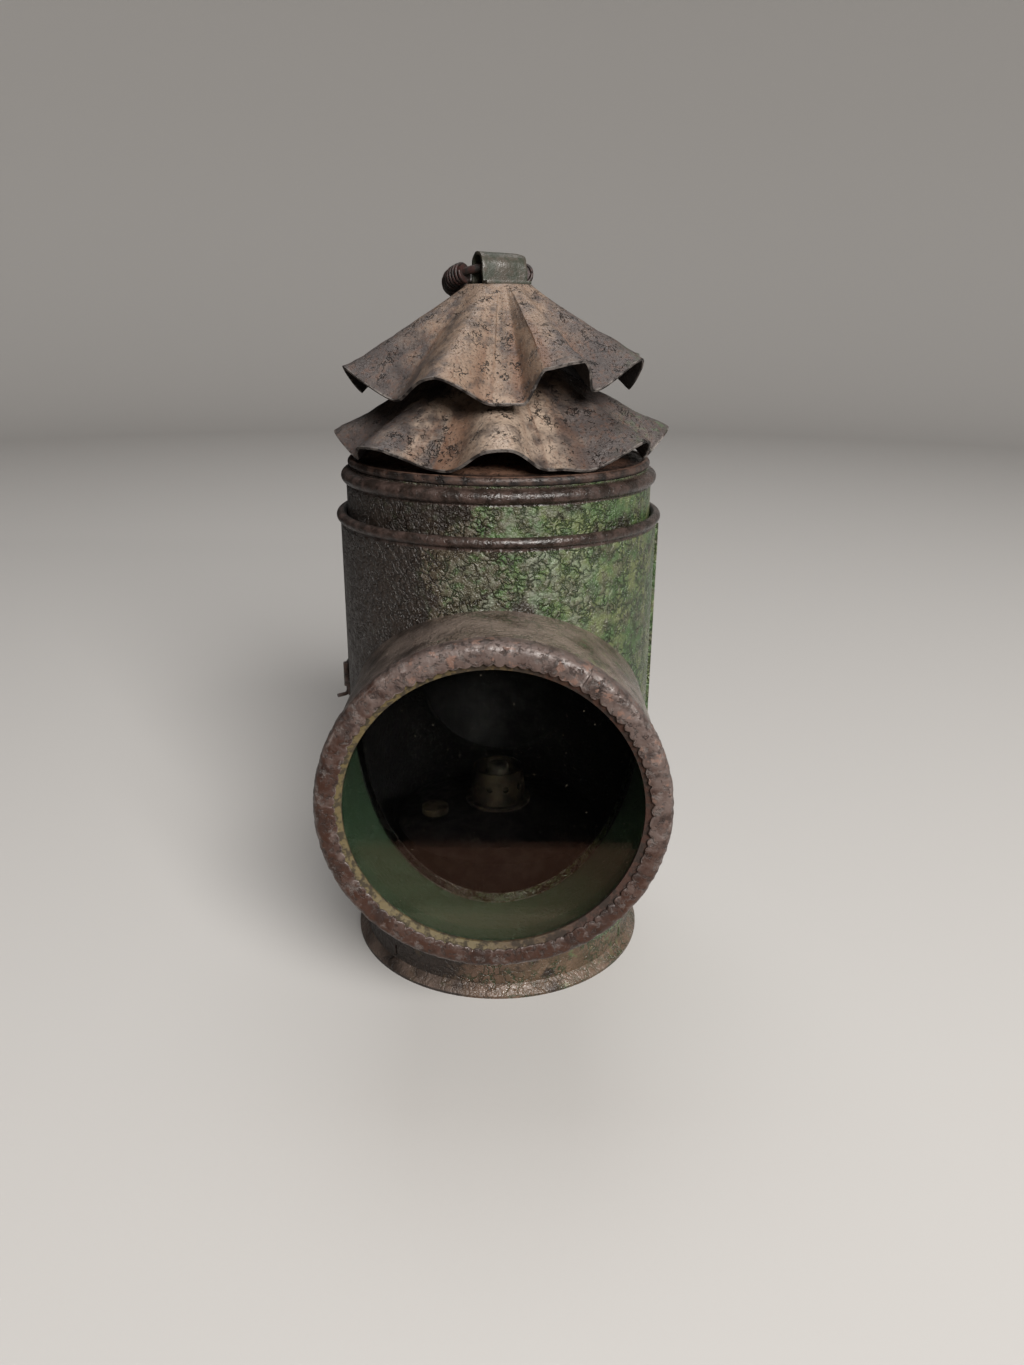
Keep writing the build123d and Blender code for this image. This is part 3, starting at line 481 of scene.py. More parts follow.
@dataclass(frozen=True)
class CrackledPaint(Finish):
    """Brown leathery skin that has crackled and flaked over green paint on browned tinplate."""

    green: Colour = (0.056, 0.105, 0.038)
    leaf: Colour = (0.125, 0.150, 0.062)
    # Whitish green of the painted highlight on the middle right of the case.
    pale: Colour = (0.22, 0.25, 0.19)
    skin: Colour = (0.118, 0.100, 0.078)
    warm: Colour = (0.058, 0.040, 0.029)
    dark: Colour = (0.014, 0.009, 0.007)
    gap: Colour = (0.018, 0.034, 0.012)
    bead: Colour = (0.052, 0.034, 0.029)
    inside: Colour = (0.008, 0.007, 0.006)
    rust: Colour = (0.034, 0.017, 0.011)
    grit: Colour = (0.30, 0.24, 0.20)
    rubbed: Colour = (0.13, 0.10, 0.09)
    cover: float = 0.60
    shade: float = 0.0
    tinge: float = 0.30
    brown: float = 0.85
    # Strength of the painted highlight.
    painted_highlight: float = 0.55
    patch_mm: float = 2.6
    flake_mm: float = 2.5
    fine_mm: float = 0.95
    relief_mm: float = 0.50
    leather_mm: float = 0.24
    bead_height: float = 1.0
    bead_half: float = 0.0018
    centre: Point = (0.0, 0.0, 0.0)
    across: Point = (1.0, 1.0, 0.0)

    def paint(self, g: Graph, shader: bpy.types.Node, effects: Effects) -> None:
        """Layers green paint, brown skin, a painted highlight, cracks, dark blots with painted shade on the
        left, dust and bare beads.
        """
        p = g.place()
        right = g.ramp(g.plus(g.axis(p, 0), g.drift(p, 18.0, 0.055, rough=0.6)), -0.036, 0.038)
        thick = g.plus(g.minus(self.cover + 0.30, g.times(right, 0.55)), g.drift(p, 9.0, 1.3, rough=0.6))
        flakes = effects.blotches(g, p, self.patch_mm, thick, 0.09)
        cracks = effects.cracks(g, p, self.flake_mm, 0.13, 0.75)
        fine = effects.cracks(g, p, self.fine_mm, 0.16, 0.8)
        opened = g.times(cracks["Crack"], g.ramp(g.noise(p, 5.5, 2.0), 0.36, 0.54))
        off = g.combine("ABSOLUTE", g.minus(g.axis(p, 2), self.bead_height))
        on_bead = g.ramp(off, self.bead_half * 1.2, self.bead_half * 0.9)
        inner = g.inward(self.centre, self.across)

        colour = self.coat(g, p, right, flakes, cracks["Flake"])
        bottom = g.ramp(g.plus(g.noise(p, 5.0, 2.0), g.times(right, 0.35)), 0.50, 0.75)
        colour = g.mix(opened, colour, g.mix(bottom, self.dark, self.gap), 0.95)
        colour = g.mix(fine["Crack"], colour, self.dark, 0.30)
        colour = self.age(g, p, right, colour, effects)
        colour = g.mix(on_bead, colour, bare_bead(g, p, self.dark, self.bead))
        colour = g.mix(inner, colour, self.inside)
        g.feed(shader.inputs["Base Color"], colour)

        gloss = g.ramp(g.noise(p, 1.6, 5.0), 0.3, 0.7, 0.16, 0.40)
        gloss = g.plus(gloss, g.ramp(right, 0.35, 0.0, 0.0, 0.22))
        g.feed(shader.inputs["Roughness"], g.largest(gloss, g.times(inner, 0.7)))

        raised = g.minus(g.times(cracks["Height"], 0.42), g.times(opened, 0.5))
        raised = g.plus(g.plus(raised, g.times(flakes, 0.12)), g.times(fine["Height"], 0.20))
        raised = g.times(raised, g.minus(1.0, g.times(on_bead, 0.85)))
        leather = g.bump(g.noise(p, 1.1, 6.0, 0.6), self.leather_mm, 0.8)
        g.feed(shader.inputs["Normal"], g.bump(raised, self.relief_mm, 1.0, leather))

    def coat(self, g: Graph, p: Socket, right: Socket, flakes: Socket, flake: Socket) -> Socket:
        """Green paint, the brown skin that is left on it, and a pale painted highlight over both on the
        middle right.

        Args:
            g: the material's graph.
            p: place on the surface.
            right: 0 on the left of the case, 1 on the right.
            flakes: 1 where the skin is left.
            flake: each flake's own value.

        Returns:
            The colour.
        """
        leafy = g.times(g.ramp(g.noise(p, 5.0, 5.0), 0.40, 0.62), g.ramp(right, 0.45, 1.0, 0.35, 1.0))
        under = g.mix(leafy, self.green, self.leaf)
        top = g.mix(g.ramp(g.noise(p, 5.0, 6.0, 0.6), 0.38, 0.60), self.warm, self.skin)
        top = g.mix(flake, top, self.warm, 0.35)
        top = g.mix(g.ramp(right, 0.15, 0.9, 0.0, self.tinge), top, self.green)
        # The skin turns darker brown towards the left of the case.
        top = g.mix(g.ramp(right, 0.42, 0.10, 0.0, self.brown), top, self.rust)
        colour = g.mix(flakes, under, top, 0.92)
        # Band on the middle right of the case where the painted highlight lies.
        middle = g.times(g.ramp(right, 0.35, 0.62), g.ramp(right, 0.98, 0.72))
        painted_highlight = g.times(middle, g.ramp(g.noise(p, 3.2, 6.0, 0.62), 0.44, 0.60, 0.0, self.painted_highlight))
        return g.mix(painted_highlight, colour, self.pale)

    def age(self, g: Graph, p: Socket, right: Socket, colour: Socket, effects: Effects) -> Socket:
        """Dark blots that grow into painted shade on the left, settled dust and rubbed edges.

        Args:
            g: the material's graph.
            p: place on the surface.
            right: 0 on the left of the case, 1 on the right.
            colour: the colour so far.
            effects: the shared effects.

        Returns:
            The colour with its age on it.
        """
        # Random dark blots, plus painted shade that darkens the left of the case.
        blots_and_painted_shade = g.plus(g.noise(p, 14.0, 5.0, 0.62), g.times(g.ramp(right, 0.36, 0.0), 0.36))
        colour = g.mix(g.ramp(g.plus(blots_and_painted_shade, self.shade), 0.56, 0.64, 0.0, 0.88), colour, self.dark)
        colour = g.mix(effects.settled(g, p, 8.0, 0.6), colour, g.mix(0.5, self.skin, self.grit))
        return g.mix(effects.rubbed(g, p, 1.2, 0.4, 0.5), colour, self.rubbed)


@dataclass(frozen=True)
class DustyTin(Finish):
    """Bare tin of the bells: grey-brown skin, tan dust, rusty valleys, short cracks, bright rims, with
    painted light on the lower bell and in the middle and painted shade on the flanks.
    """

    tan: Colour = (0.205, 0.145, 0.106)
    # Paler tan below a height: painted light on the lower bell.
    pale: Colour = (0.320, 0.245, 0.190)
    painted_light_below: float = 0.145
    slate: Colour = (0.056, 0.046, 0.044)
    rust: Colour = (0.105, 0.050, 0.029)
    dark: Colour = (0.010, 0.007, 0.006)
    bead: Colour = (0.060, 0.036, 0.028)
    bright: Colour = (0.24, 0.215, 0.20)
    moss: Colour = (0.075, 0.105, 0.06)
    moss_side: float = 1.0
    dusty: float = 0.5
    # How far the flanks turn slate: painted shade.
    painted_shade_flanks: float = 0.9
    bead_below: float = -1.0

    def paint(self, g: Graph, shader: bpy.types.Node, effects: Effects) -> None:
        """Layers slate skin, dust, rust, speckle, cracks and rim, with painted light and shade."""
        p = g.place()
        valley = g.add("Attribute", attribute_name="valley").outputs["Fac"]
        rim = g.ramp(g.add("Attribute", attribute_name="rim").outputs["Fac"], 0.55, 0.95)
        run = g.streaks(8.0, 40.0)
        aside = g.largest(g.times(g.axis(p, 0), 1.25), g.times(g.axis(p, 0), -1.0))
        height = g.axis(p, 2)
        lines = effects.cracks(g, p, 3.6, 0.075, 1.2)
        cut = g.times(lines["Crack"], g.ramp(g.noise(p, 3.4, 2.0), 0.555, 0.60))
        under = g.ramp(g.axis(g.facing(), 2), -0.05, -0.35)
        worn = g.times(rim, g.ramp(g.noise(p, 2.4, 4.0), 0.44, 0.60))

        cloud = g.plus(g.times(g.noise(p, 6.0, 7.0, 0.65), 0.6), g.times(run, 0.4))
        # Painted light and shade: the tan and the dust show more in the middle of each bell and less on its
        # flanks.
        middle = g.ramp(aside, 0.030, 0.003, -0.05, 0.10)
        light = g.mix(g.ramp(height, self.painted_light_below + 0.004, self.painted_light_below - 0.004), self.tan, self.pale)
        colour = g.mix(g.ramp(g.plus(cloud, middle), 0.43, 0.62), self.slate, light)
        dust = effects.settled(g, p, 6.0, self.dusty)
        colour = g.mix(g.times(dust, g.ramp(aside, 0.034, 0.010, 0.1, 0.6)), colour, light)
        stain = g.times(g.ramp(valley, 0.30, 0.95), g.ramp(run, 0.38, 0.54))
        colour = g.mix(stain, colour, self.rust, 0.75)
        # Painted shade: the flanks turn slate, the right one sooner.
        painted_shade_sides = g.plus(aside, g.drift(p, 8.0, 0.03, 5.0))
        colour = g.mix(g.ramp(painted_shade_sides, 0.010, 0.030, 0.0, self.painted_shade_flanks), colour, self.slate)

        colour = g.mix(effects.blotches(g, p, 1.3, 0.34, 0.08), colour, self.rust, 0.40)
        soot = effects.blotches(g, p, 4.0, 0.34, 0.08)
        colour = g.mix(soot, colour, g.mix(0.5, self.slate, self.dark), 0.6)
        specks = effects.blotches(g, p, 0.55, 0.25, 0.05)
        colour = g.mix(specks, colour, self.dark, 0.55)
        moss = g.times(effects.blotches(g, p, 2.0, 0.38, 0.08), g.ramp(g.axis(p, 0), 0.024, 0.038))
        colour = g.mix(moss, colour, self.moss, 0.6 * self.moss_side)
        colour = g.mix(cut, colour, self.dark, 0.95)

        # Surfaces that face down turn dark: soot, and painted shade under the bells.
        colour = g.mix(under, colour, self.dark)
        colour = g.mix(rim, colour, self.dark, 0.6)
        on_bead = g.ramp(height, self.bead_below + 0.0003, self.bead_below - 0.0003)
        colour = g.mix(on_bead, colour, bare_bead(g, p, self.dark, self.bead))
        colour = g.mix(worn, colour, self.bright, 0.8)
        g.feed(shader.inputs["Base Color"], colour)
        g.feed(shader.inputs["Metallic"], g.times(worn, 0.6))
        gloss = g.ramp(g.noise(p, 2.4, 5.0), 0.3, 0.7, 0.30, 0.58)
        g.feed(shader.inputs["Roughness"], g.largest(gloss, g.times(under, 0.85)))
        grain = g.bump(g.noise(p, 0.8, 6.0, 0.65), 0.20, 1.0)
        relief = g.minus(g.minus(1.0, cut), g.times(specks, 0.35))
        g.feed(shader.inputs["Normal"], g.bump(relief, 0.32, 1.0, grain))


@dataclass(frozen=True)
class PittedMetal(Finish):
    """Rusty pitted metal with brighter rubbed places, painted lighter towards the top right."""

    deep: Colour = (0.014, 0.009, 0.008)
    rust: Colour = (0.036, 0.017, 0.012)
    skin: Colour = (0.098, 0.071, 0.063)
    bright: Colour = (0.30, 0.265, 0.25)
    chip: Colour = (0.165, 0.098, 0.076)
    rubbed: float = 0.5
    metal: float = 0.35
    sheen_low: float = 0.30
    sheen_high: float = 0.55
    painted_light_lean: float = 0.5
    pit_mm: float = 1.1
    lens_height: float = 0.065

    def paint(self, g: Graph, shader: bpy.types.Node, effects: Effects) -> None:
        """Layers rust, a grey skin that is painted lighter towards the top right, blots, pits, chips and
        rubbed edges.
        """
        p = g.place()
        # Painted light: the grey skin and the chips show more towards the top right of the bezel.
        slant = g.plus(g.times(g.axis(p, 0), 0.5), g.minus(g.axis(p, 2), self.lens_height))
        high = g.times(g.minus(g.ramp(slant, -0.03, 0.04), 0.5), self.painted_light_lean)
        cloud = g.plus(g.noise(p, 5.0, 7.0, 0.62), g.times(high, 0.5))
        pits = effects.blotches(g, p, self.pit_mm, 0.32, 0.06)
        chips = g.times(effects.blotches(g, p, 2.4, 0.29, 0.02), g.ramp(high, 0.08, 0.2, 0.0, 0.85))
        patch = g.times(effects.blotches(g, p, 2.2, 0.3, 0.05), 0.45 * self.rubbed)
        shine = g.combine("ADD", effects.rubbed(g, p, 1.5, 0.5, self.rubbed), patch, clamp=True)

        colour = g.mix(g.ramp(cloud, 0.38, 0.66), self.rust, self.skin)
        colour = g.mix(effects.blotches(g, p, 4.5, 0.34, 0.07), colour, self.deep, 0.7)
        colour = g.mix(pits, colour, self.deep, 0.75)
        colour = g.mix(shine, g.mix(chips, colour, self.chip), self.bright)
        g.feed(shader.inputs["Base Color"], colour)
        g.feed(shader.inputs["Metallic"], g.combine("MULTIPLY", shine, self.metal, clamp=True))
        gloss = g.ramp(g.noise(p, 2.0, 5.0), 0.3, 0.7, self.sheen_low, self.sheen_high)
        g.feed(shader.inputs["Roughness"], gloss)
        grain = g.bump(g.noise(p, 0.7, 6.0, 0.65), 0.14, 0.8)
        g.feed(shader.inputs["Normal"], g.bump(g.minus(1.0, pits), 0.16, 0.9, grain))


@dataclass(frozen=True)
class DriedPutty(Finish):
    """Dried packing: yellow-tan on the left and below, red-brown on the right."""

    yellow: Colour = (0.092, 0.070, 0.028)
    red: Colour = (0.040, 0.017, 0.011)
    dark: Colour = (0.014, 0.010, 0.007)

    def paint(self, g: Graph, shader: bpy.types.Node, effects: Effects) -> None:
        """Blends the two colours across the ring, with dark lumps."""
        p = g.place()
        side = g.ramp(g.plus(g.axis(p, 0), g.drift(p, 12.0, 0.05)), -0.012, 0.02)
        lumps = effects.blotches(g, p, 1.6, 0.50, 0.06)
        colour = g.mix(lumps, g.mix(side, self.yellow, self.red), self.dark, 0.8)
        g.feed(shader.inputs["Base Color"], colour)
        g.feed(shader.inputs["Roughness"], g.ramp(lumps, 0.0, 1.0, 0.6, 0.85))
        g.feed(shader.inputs["Normal"], g.bump(g.noise(p, 0.8, 6.0, 0.65), 0.25, 0.9))


@dataclass(frozen=True)
class OldGlass(Finish):
    """Clear pane with a faint dusty film."""

    tint: Colour = (0.93, 0.95, 0.93)

    def paint(self, g: Graph, shader: bpy.types.Node, effects: Effects) -> None:
        """Makes clear glass whose film only changes its gloss."""
        p = g.place()
        g.feed(shader.inputs["Base Color"], self.tint)
        g.feed(shader.inputs["Transmission Weight"], 1.0)
        g.feed(shader.inputs["IOR"], 1.46)
        g.feed(shader.inputs["Roughness"], g.ramp(g.noise(p, 9.0, 5.0), 0.4, 0.75, 0.015, 0.07))
        g.feed(shader.inputs["Normal"], g.bump(g.noise(p, 30.0, 1.0), 0.05, 0.3))


@dataclass(frozen=True)
class PlainAged(Finish):
    """Simple aged surface: two colours in blotches, rubbed edges and fine grain."""

    light: Colour
    dark: Colour
    blot_mm: float = 4.0
    metal: float = 0.0
    rough_low: float = 0.4
    rough_high: float = 0.7
    grain_mm: float = 0.8
    relief_mm: float = 0.1
    gleam: float = 0.5

    def paint(self, g: Graph, shader: bpy.types.Node, effects: Effects) -> None:
        """Blends the colours and adds grain."""
        p = g.place()
        blots = effects.call(g, effects.patches, p, self.blot_mm, Cover=0.5, Edge=0.12)
        colour = g.mix(blots["Mask"], self.light, self.dark)
        rubbed = tuple(min(1.0, share * 1.7) for share in self.light)
        colour = g.mix(effects.rubbed(g, p, 1.2, 0.4, 0.5), colour, rubbed, 0.6)
        g.feed(shader.inputs["Base Color"], colour)
        g.feed(shader.inputs["Metallic"], self.metal)
        g.feed(shader.inputs["Specular IOR Level"], self.gleam)
        g.feed(shader.inputs["Roughness"], g.ramp(blots["Value"], 0.3, 0.7, self.rough_low, self.rough_high))
        g.feed(shader.inputs["Normal"], g.bump(g.noise(p, self.grain_mm, 5.0, 0.6), self.relief_mm, 0.8))


class Finishes:
    """Every material of the lantern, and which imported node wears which."""

    NECK_LIP = 2.15 * MM
    CAP_ROLL = 2.1 * MM
    LENS_HEIGHT = 65.0 * MM

    def __init__(self, effects: Effects) -> None:
        """Builds the materials.

        Args:
            effects: the effects that they share.
        """
        rim_low, rim_high = (corner[2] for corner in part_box("rim_wire"))
        neck_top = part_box("shutter_cylinder")[1][2]
        rim = (rim_low + rim_high) / 2
        kinds: dict[str, Finish] = {
            "green_paint": CrackledPaint(bead_height=rim),
            "neck_paint": CrackledPaint(
                cover=0.52, painted_highlight=0.30, flake_mm=2.2, bead_height=neck_top - self.NECK_LIP,
            ),
            "tube_paint": CrackledPaint(
                cover=1.0, skin=(0.175, 0.132, 0.117), warm=(0.092, 0.063, 0.052), relief_mm=0.18,
                inside=(0.045, 0.085, 0.045), tinge=0.0, painted_highlight=0.0, brown=0.35,
                centre=(0.0, 0.0, self.LENS_HEIGHT), across=(1.0, 0.0, 1.0),
            ),
            "foot_tin": CrackledPaint(
                cover=1.02, skin=(0.125, 0.068, 0.050), warm=(0.070, 0.031, 0.021), shade=-0.05, tinge=0.10,
                painted_highlight=0.0, relief_mm=0.22,
            ),
            "bell_tin": DustyTin(),
            # The cap's tan and slate are lighter than its own colour: painted light where the bells shade
            # the cap.
            "cap_tin": DustyTin(
                tan=(0.46, 0.255, 0.170), slate=(0.24, 0.130, 0.092), moss_side=0.0, dusty=0.4, painted_shade_flanks=0.4,
                painted_light_below=0.0, bead_below=neck_top + self.CAP_ROLL,
            ),
            "bezel_metal": PittedMetal(lens_height=self.LENS_HEIGHT),
            "small_iron": PittedMetal(rubbed=0.3, painted_light_lean=0.0, lens_height=self.LENS_HEIGHT),
            "strap_tin": PlainAged(
                light=(0.058, 0.050, 0.040), dark=(0.022, 0.026, 0.016), blot_mm=2.5, rough_low=0.28,
                rough_high=0.5, relief_mm=0.16,
            ),
            "wound_wire": PlainAged(light=(0.032, 0.013, 0.011), dark=(0.007, 0.005, 0.004), blot_mm=1.6),
            "putty": DriedPutty(),
            "pane": OldGlass(),
            "soot": PlainAged(
                light=(0.012, 0.010, 0.009), dark=(0.004, 0.003, 0.003), rough_low=0.6, rough_high=0.9,
                gleam=0.1,
            ),
            "brass": PlainAged(light=(0.050, 0.038, 0.022), dark=(0.018, 0.013, 0.009), gleam=0.2),
            "silvered": PlainAged(light=(0.015, 0.014, 0.013), dark=(0.005, 0.005, 0.004), gleam=0.2),
            "dust": PlainAged(light=(0.42, 0.38, 0.30), dark=(0.22, 0.18, 0.12), blot_mm=1.0, gleam=0.2),
            "cotton": PlainAged(
                light=(0.10, 0.085, 0.06), dark=(0.015, 0.012, 0.010), grain_mm=0.5, relief_mm=0.2,
            ),
        }
        self.materials = {name: kind.make(name, effects) for name, kind in kinds.items()}
        self.wearers = {
            "green_paint": ("case_shell", "door_panel"),
            "neck_paint": ("shutter_cylinder",),
            "tube_paint": ("lens_tube",),
            "foot_tin": ("foot_ring", "belt_clip"),
            "bell_tin": ("lower_bell", "upper_bell"),
            "cap_tin": ("cap_plate",),
            "bezel_metal": ("lens_bezel",),
            "small_iron": (
                "base_plate", "rim_wire", "case_hinges", "door_hinges", "hinge_pins", "door_catch",
                "handle_right", "handle_left", "lugs_right", "lugs_left",
            ),
            "strap_tin": ("ring_strap", "catch_nub", "clip_rivets"),
            "wound_wire": ("carry_ring", "ring_winding"),
            "putty": ("lens_packing",),
            "pane": ("lens_glass",),
            "soot": (
                "lens_seat_ring", "chimney_core", "font_socket", "font_pan", "font_top", "reflector_bracket",
            ),
            "brass": ("filler_cap", "burner_collar", "wick_tube", "draught_cone"),
            "silvered": ("reflector",),
            "cotton": ("wick",),
        }

    def dress(self, frame: dict) -> None:
        """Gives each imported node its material.
        """
        for finish, nodes in self.wearers.items():
            for node in nodes:
                mesh = frame["nodes"][node].data
                mesh.materials.clear()
                mesh.materials.append(self.materials[finish])
                log.info("dressed %s in %s", node, finish)


def deselect() -> None:
    """Leaves nothing selected, in object mode."""
    if bpy.context.object and bpy.context.object.mode != "OBJECT":
        bpy.ops.object.mode_set(mode="OBJECT")
    bpy.ops.object.select_all(action="DESELECT")


def activate(piece: bpy.types.Object) -> None:
    """Makes one object the only selected and active one."""
    deselect()
    piece.select_set(True)
    bpy.context.view_layer.objects.active = piece


def apply_modifiers(piece: bpy.types.Object) -> None:
    """Applies every modifier of a piece in order."""
    activate(piece)
    for name in [m.name for m in piece.modifiers]:
        bpy.ops.object.modifier_apply(modifier=name)


def draw_down(rings: int) -> None:
    """Pulls the selected edge down a millimetre at a time, each time as a new ring."""
    for _ in range(rings):
        bpy.ops.mesh.extrude_region_move(TRANSFORM_OT_translate={"value": (0, 0, -MM)})


def thicken(piece: bpy.types.Object, sheet: float, side: float) -> None:
    """Adds a thickness to a sheet, not yet applied.

    Args:
        piece: the sheet.
        sheet: its thickness.
        side: -1 for all of it behind the surface, 0 for half on each side.
    """
    solid = piece.modifiers.new("sheet", "SOLIDIFY")
    solid.thickness = sheet
    solid.offset = side


def settle(piece: bpy.types.Object, name: str, material: bpy.types.Material, angle: float = 40.0) -> None:
    """Puts a piece's place into its mesh, names it, dresses it and smooths it.

    Args:
        piece: the piece.
        name: its name.
        material: its finish.
        angle: edges sharper than this many degrees stay sharp.
    """
    activate(piece)
    bpy.ops.object.transform_apply(location=True, rotation=True, scale=True)
    bpy.ops.object.shade_smooth_by_angle(angle=math.radians(angle))
    piece.name = name
    piece.data.name = name
    piece.data.materials.clear()
    piece.data.materials.append(material)
    log.info("made %s with %d faces", name, len(piece.data.polygons))


def ease(share: float, gentle: bool) -> float:
    """Smooth step from 0 to 1.

    Args:
        share: 0 to 1.
        gentle: flatter ends.

    Returns:
        The eased share.
    """
    if gentle:
        return share ** 3 * (share * (6 * share - 15) + 10)
    return share ** 2 * (3 - 2 * share)


@dataclass
class CrimpedBell:
    """One crimped bell, drawn out ring by ring from its round top and then fluted; sizes in mm."""

    name: str
    node: str
    top_radius: float
    top_height: float
    flutes: tuple[Flute, ...]
    closed: bool
    seed: float
    sheet: float = 0.6
    columns: int = 384
    rings: int = 30
    belly: float = 0.9
    dent: float = 0.9
    dent_waves: float = 160.0
    ripple: float = 0.25
    ripple_waves: float = 600.0
    drawn: float = 0.03
    worn_rim: float = 0.035
    valley_reach: float = 1.6
    crown_steps: tuple[float, ...] = (0.8, 0.7, 0.5)

    def rim_at(self, angle: float) -> tuple[float, float, float]:
        """Shape of the rim at an angle.

        Args:
            angle: degrees round the case.

        Returns:
            Its radius, its drop below the top, and how deep in a valley it is, 0 to 1.
        """
        for (start, radius, drop, sharp), following in zip(self.flutes, self.flutes[1:] + self.flutes[:1]):
            end, next_radius, next_drop, next_sharp = following
            share = (angle - start) % 360 / ((end - start) % 360)
            if share < 1:
                soft = ease(share, gentle=not (sharp or next_sharp))
                mix = soft + (share - soft) * (sharp * (1 - share) + next_sharp * share)
                valley = 1 - mix if drop > next_drop else mix
                return radius + (next_radius - radius) * mix, drop + (next_drop - drop) * mix, valley
        raise ValueError("the flutes don't go all the way round")

    def build(self, material: bpy.types.Material) -> None:
        """Makes the bell.

        Args:
            material: its finish.
        """
        deselect()
        bpy.ops.mesh.primitive_circle_add(
            vertices=self.columns, radius=self.top_radius * MM, fill_type="NOTHING",
            location=(0, 0, self.top_height * MM),
        )
        piece = bpy.context.object
        bpy.ops.object.transform_apply(location=True)
        bpy.ops.object.mode_set(mode="EDIT")
        bpy.ops.mesh.select_all(action="SELECT")
        draw_down(self.rings)
        if self.closed:
            self.close_crown(piece)
        bpy.ops.object.mode_set(mode="OBJECT")
        self.flute(piece)
        thicken(piece, self.sheet * MM, -1.0)
        apply_modifiers(piece)
        settle(piece, self.name, material, 50)
        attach(piece, Body.SHUTTER.value)
        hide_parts(self.node)

    def close_crown(self, piece: bpy.types.Object) -> None:
        """Draws the top ring in to a small hole and fills it.

        Args:
            piece: the open bell, in edit mode.
        """
        bpy.ops.mesh.select_all(action="DESELECT")
        bpy.ops.object.mode_set(mode="OBJECT")
        top = self.top_height * MM
        for vertex in piece.data.vertices:
            vertex.select = abs(vertex.co.z - top) < 0.1 * MM
        bpy.ops.object.mode_set(mode="EDIT")
        bpy.ops.mesh.select_mode(type="EDGE")
        for step in self.crown_steps:
            bpy.ops.mesh.extrude_region_move(TRANSFORM_OT_translate={"value": (0, 0, 0)})
            bpy.ops.transform.resize(value=(step, step, 1), center_override=(0, 0, top))
        bpy.ops.mesh.edge_face_add()

    def flute(self, piece: bpy.types.Object) -> None:
        """Moves each ring out to its share of the fluted rim, with small dents.

        Args:
            piece: the straight-sided piece.
        """
        mesh = piece.data
        marks = {key: mesh.attributes.new(key, "FLOAT", "POINT") for key in ("valley", "rim")}
        for vertex in mesh.vertices:
            x, y, z = vertex.co
            share = round((self.top_height * MM - z) / MM) / self.rings
            turn = math.atan2(y, x)
            radius, drop, valley = self.rim_at(math.degrees(turn))
            if share > 0:
                away = self.top_radius + (radius - self.top_radius) * share
                down = drop * share + self.belly * math.sin(math.pi * share) * (0.5 - valley)
                down -= share * self.unevenness(Vector((x, y, share * self.drawn)))
                place = (away * math.cos(turn), away * math.sin(turn), self.top_height - down)
                vertex.co = Vector(place) * MM
            marks["valley"].data[vertex.index].value = valley * min(1.0, share * self.valley_reach)
            marks["rim"].data[vertex.index].value = max(0.0, (share - 1 + self.worn_rim) / self.worn_rim)

    def unevenness(self, spot: Vector) -> float:
        """Height in mm of the dents and ripples of the rim at a spot."""
        dent = self.dent * noise.noise(spot * self.dent_waves + Vector((self.seed, 0, 0)))
        return dent + self.ripple * noise.noise(spot * self.ripple_waves + Vector((self.seed, 9, 0)))


@dataclass
class Bells:
    """Both crimped bells; radii in mm."""

    lower_radius: float = 12.05
    crown_radius: float = 7.5
    lower: tuple[Flute, ...] = (
        (-88.4, 41.1, 15.0, 0.0), (-71.5, 36.7, 20.2, 0.0), (-55.0, 36.1, 20.8, 0.0),
        (-36.0, 41.0, 15.5, 0.3), (-18.0, 36.3, 20.4, 0.0), (2.0, 41.2, 14.9, 0.0),
        (23.0, 36.4, 20.6, 0.0), (46.0, 40.9, 15.3, 0.3), (68.0, 36.1, 20.5, 0.0),
        (90.0, 41.0, 15.6, 0.0), (112.0, 36.4, 20.7, 0.0), (134.5, 41.2, 15.7, 0.3),
        (158.0, 36.2, 20.8, 0.0), (180.0, 39.9, 16.1, 0.0), (203.0, 36.2, 20.7, 0.0),
        (227.0, 41.0, 16.4, 0.0), (250.5, 36.3, 20.6, 0.0),
    )
    upper: tuple[Flute, ...] = (
        (-91.0, 31.9, 24.0, 0.0), (-80.0, 32.0, 24.1, 0.0), (-73.5, 35.3, 16.7, 0.2),
        (-60.0, 36.9, 15.2, 0.5), (-48.5, 32.0, 21.9, 0.0), (-25.0, 35.6, 15.4, 0.3),
        (0.0, 31.4, 22.8, 0.0), (22.0, 36.6, 15.6, 0.0), (45.0, 32.1, 23.8, 0.0),
        (67.0, 36.0, 21.6, 0.3), (90.0, 32.0, 23.6, 0.0), (113.0, 36.7, 17.2, 0.0),
        (135.0, 31.8, 24.0, 0.0), (158.0, 36.9, 17.6, 0.3), (180.0, 33.2, 24.1, 0.0),
        (200.0, 37.4, 17.8, 0.2), (224.8, 32.0, 24.3, 0.0), (250.0, 36.8, 18.6, 0.2),
    )

    def build(self, finishes: Finishes) -> None:
        """Makes both bells.

        Args:
            finishes: the materials.
        """
        for node, radius, flutes, closed, seed in (
            ("lower_bell", self.lower_radius, self.lower, False, 3.0),
            ("upper_bell", self.crown_radius, self.upper, True, 11.0),
        ):
            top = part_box(node)[1][2] / MM
            bell = CrimpedBell(node + "_skin", node, radius, top, flutes, closed, seed)
            bell.build(finishes.materials["bell_tin"])


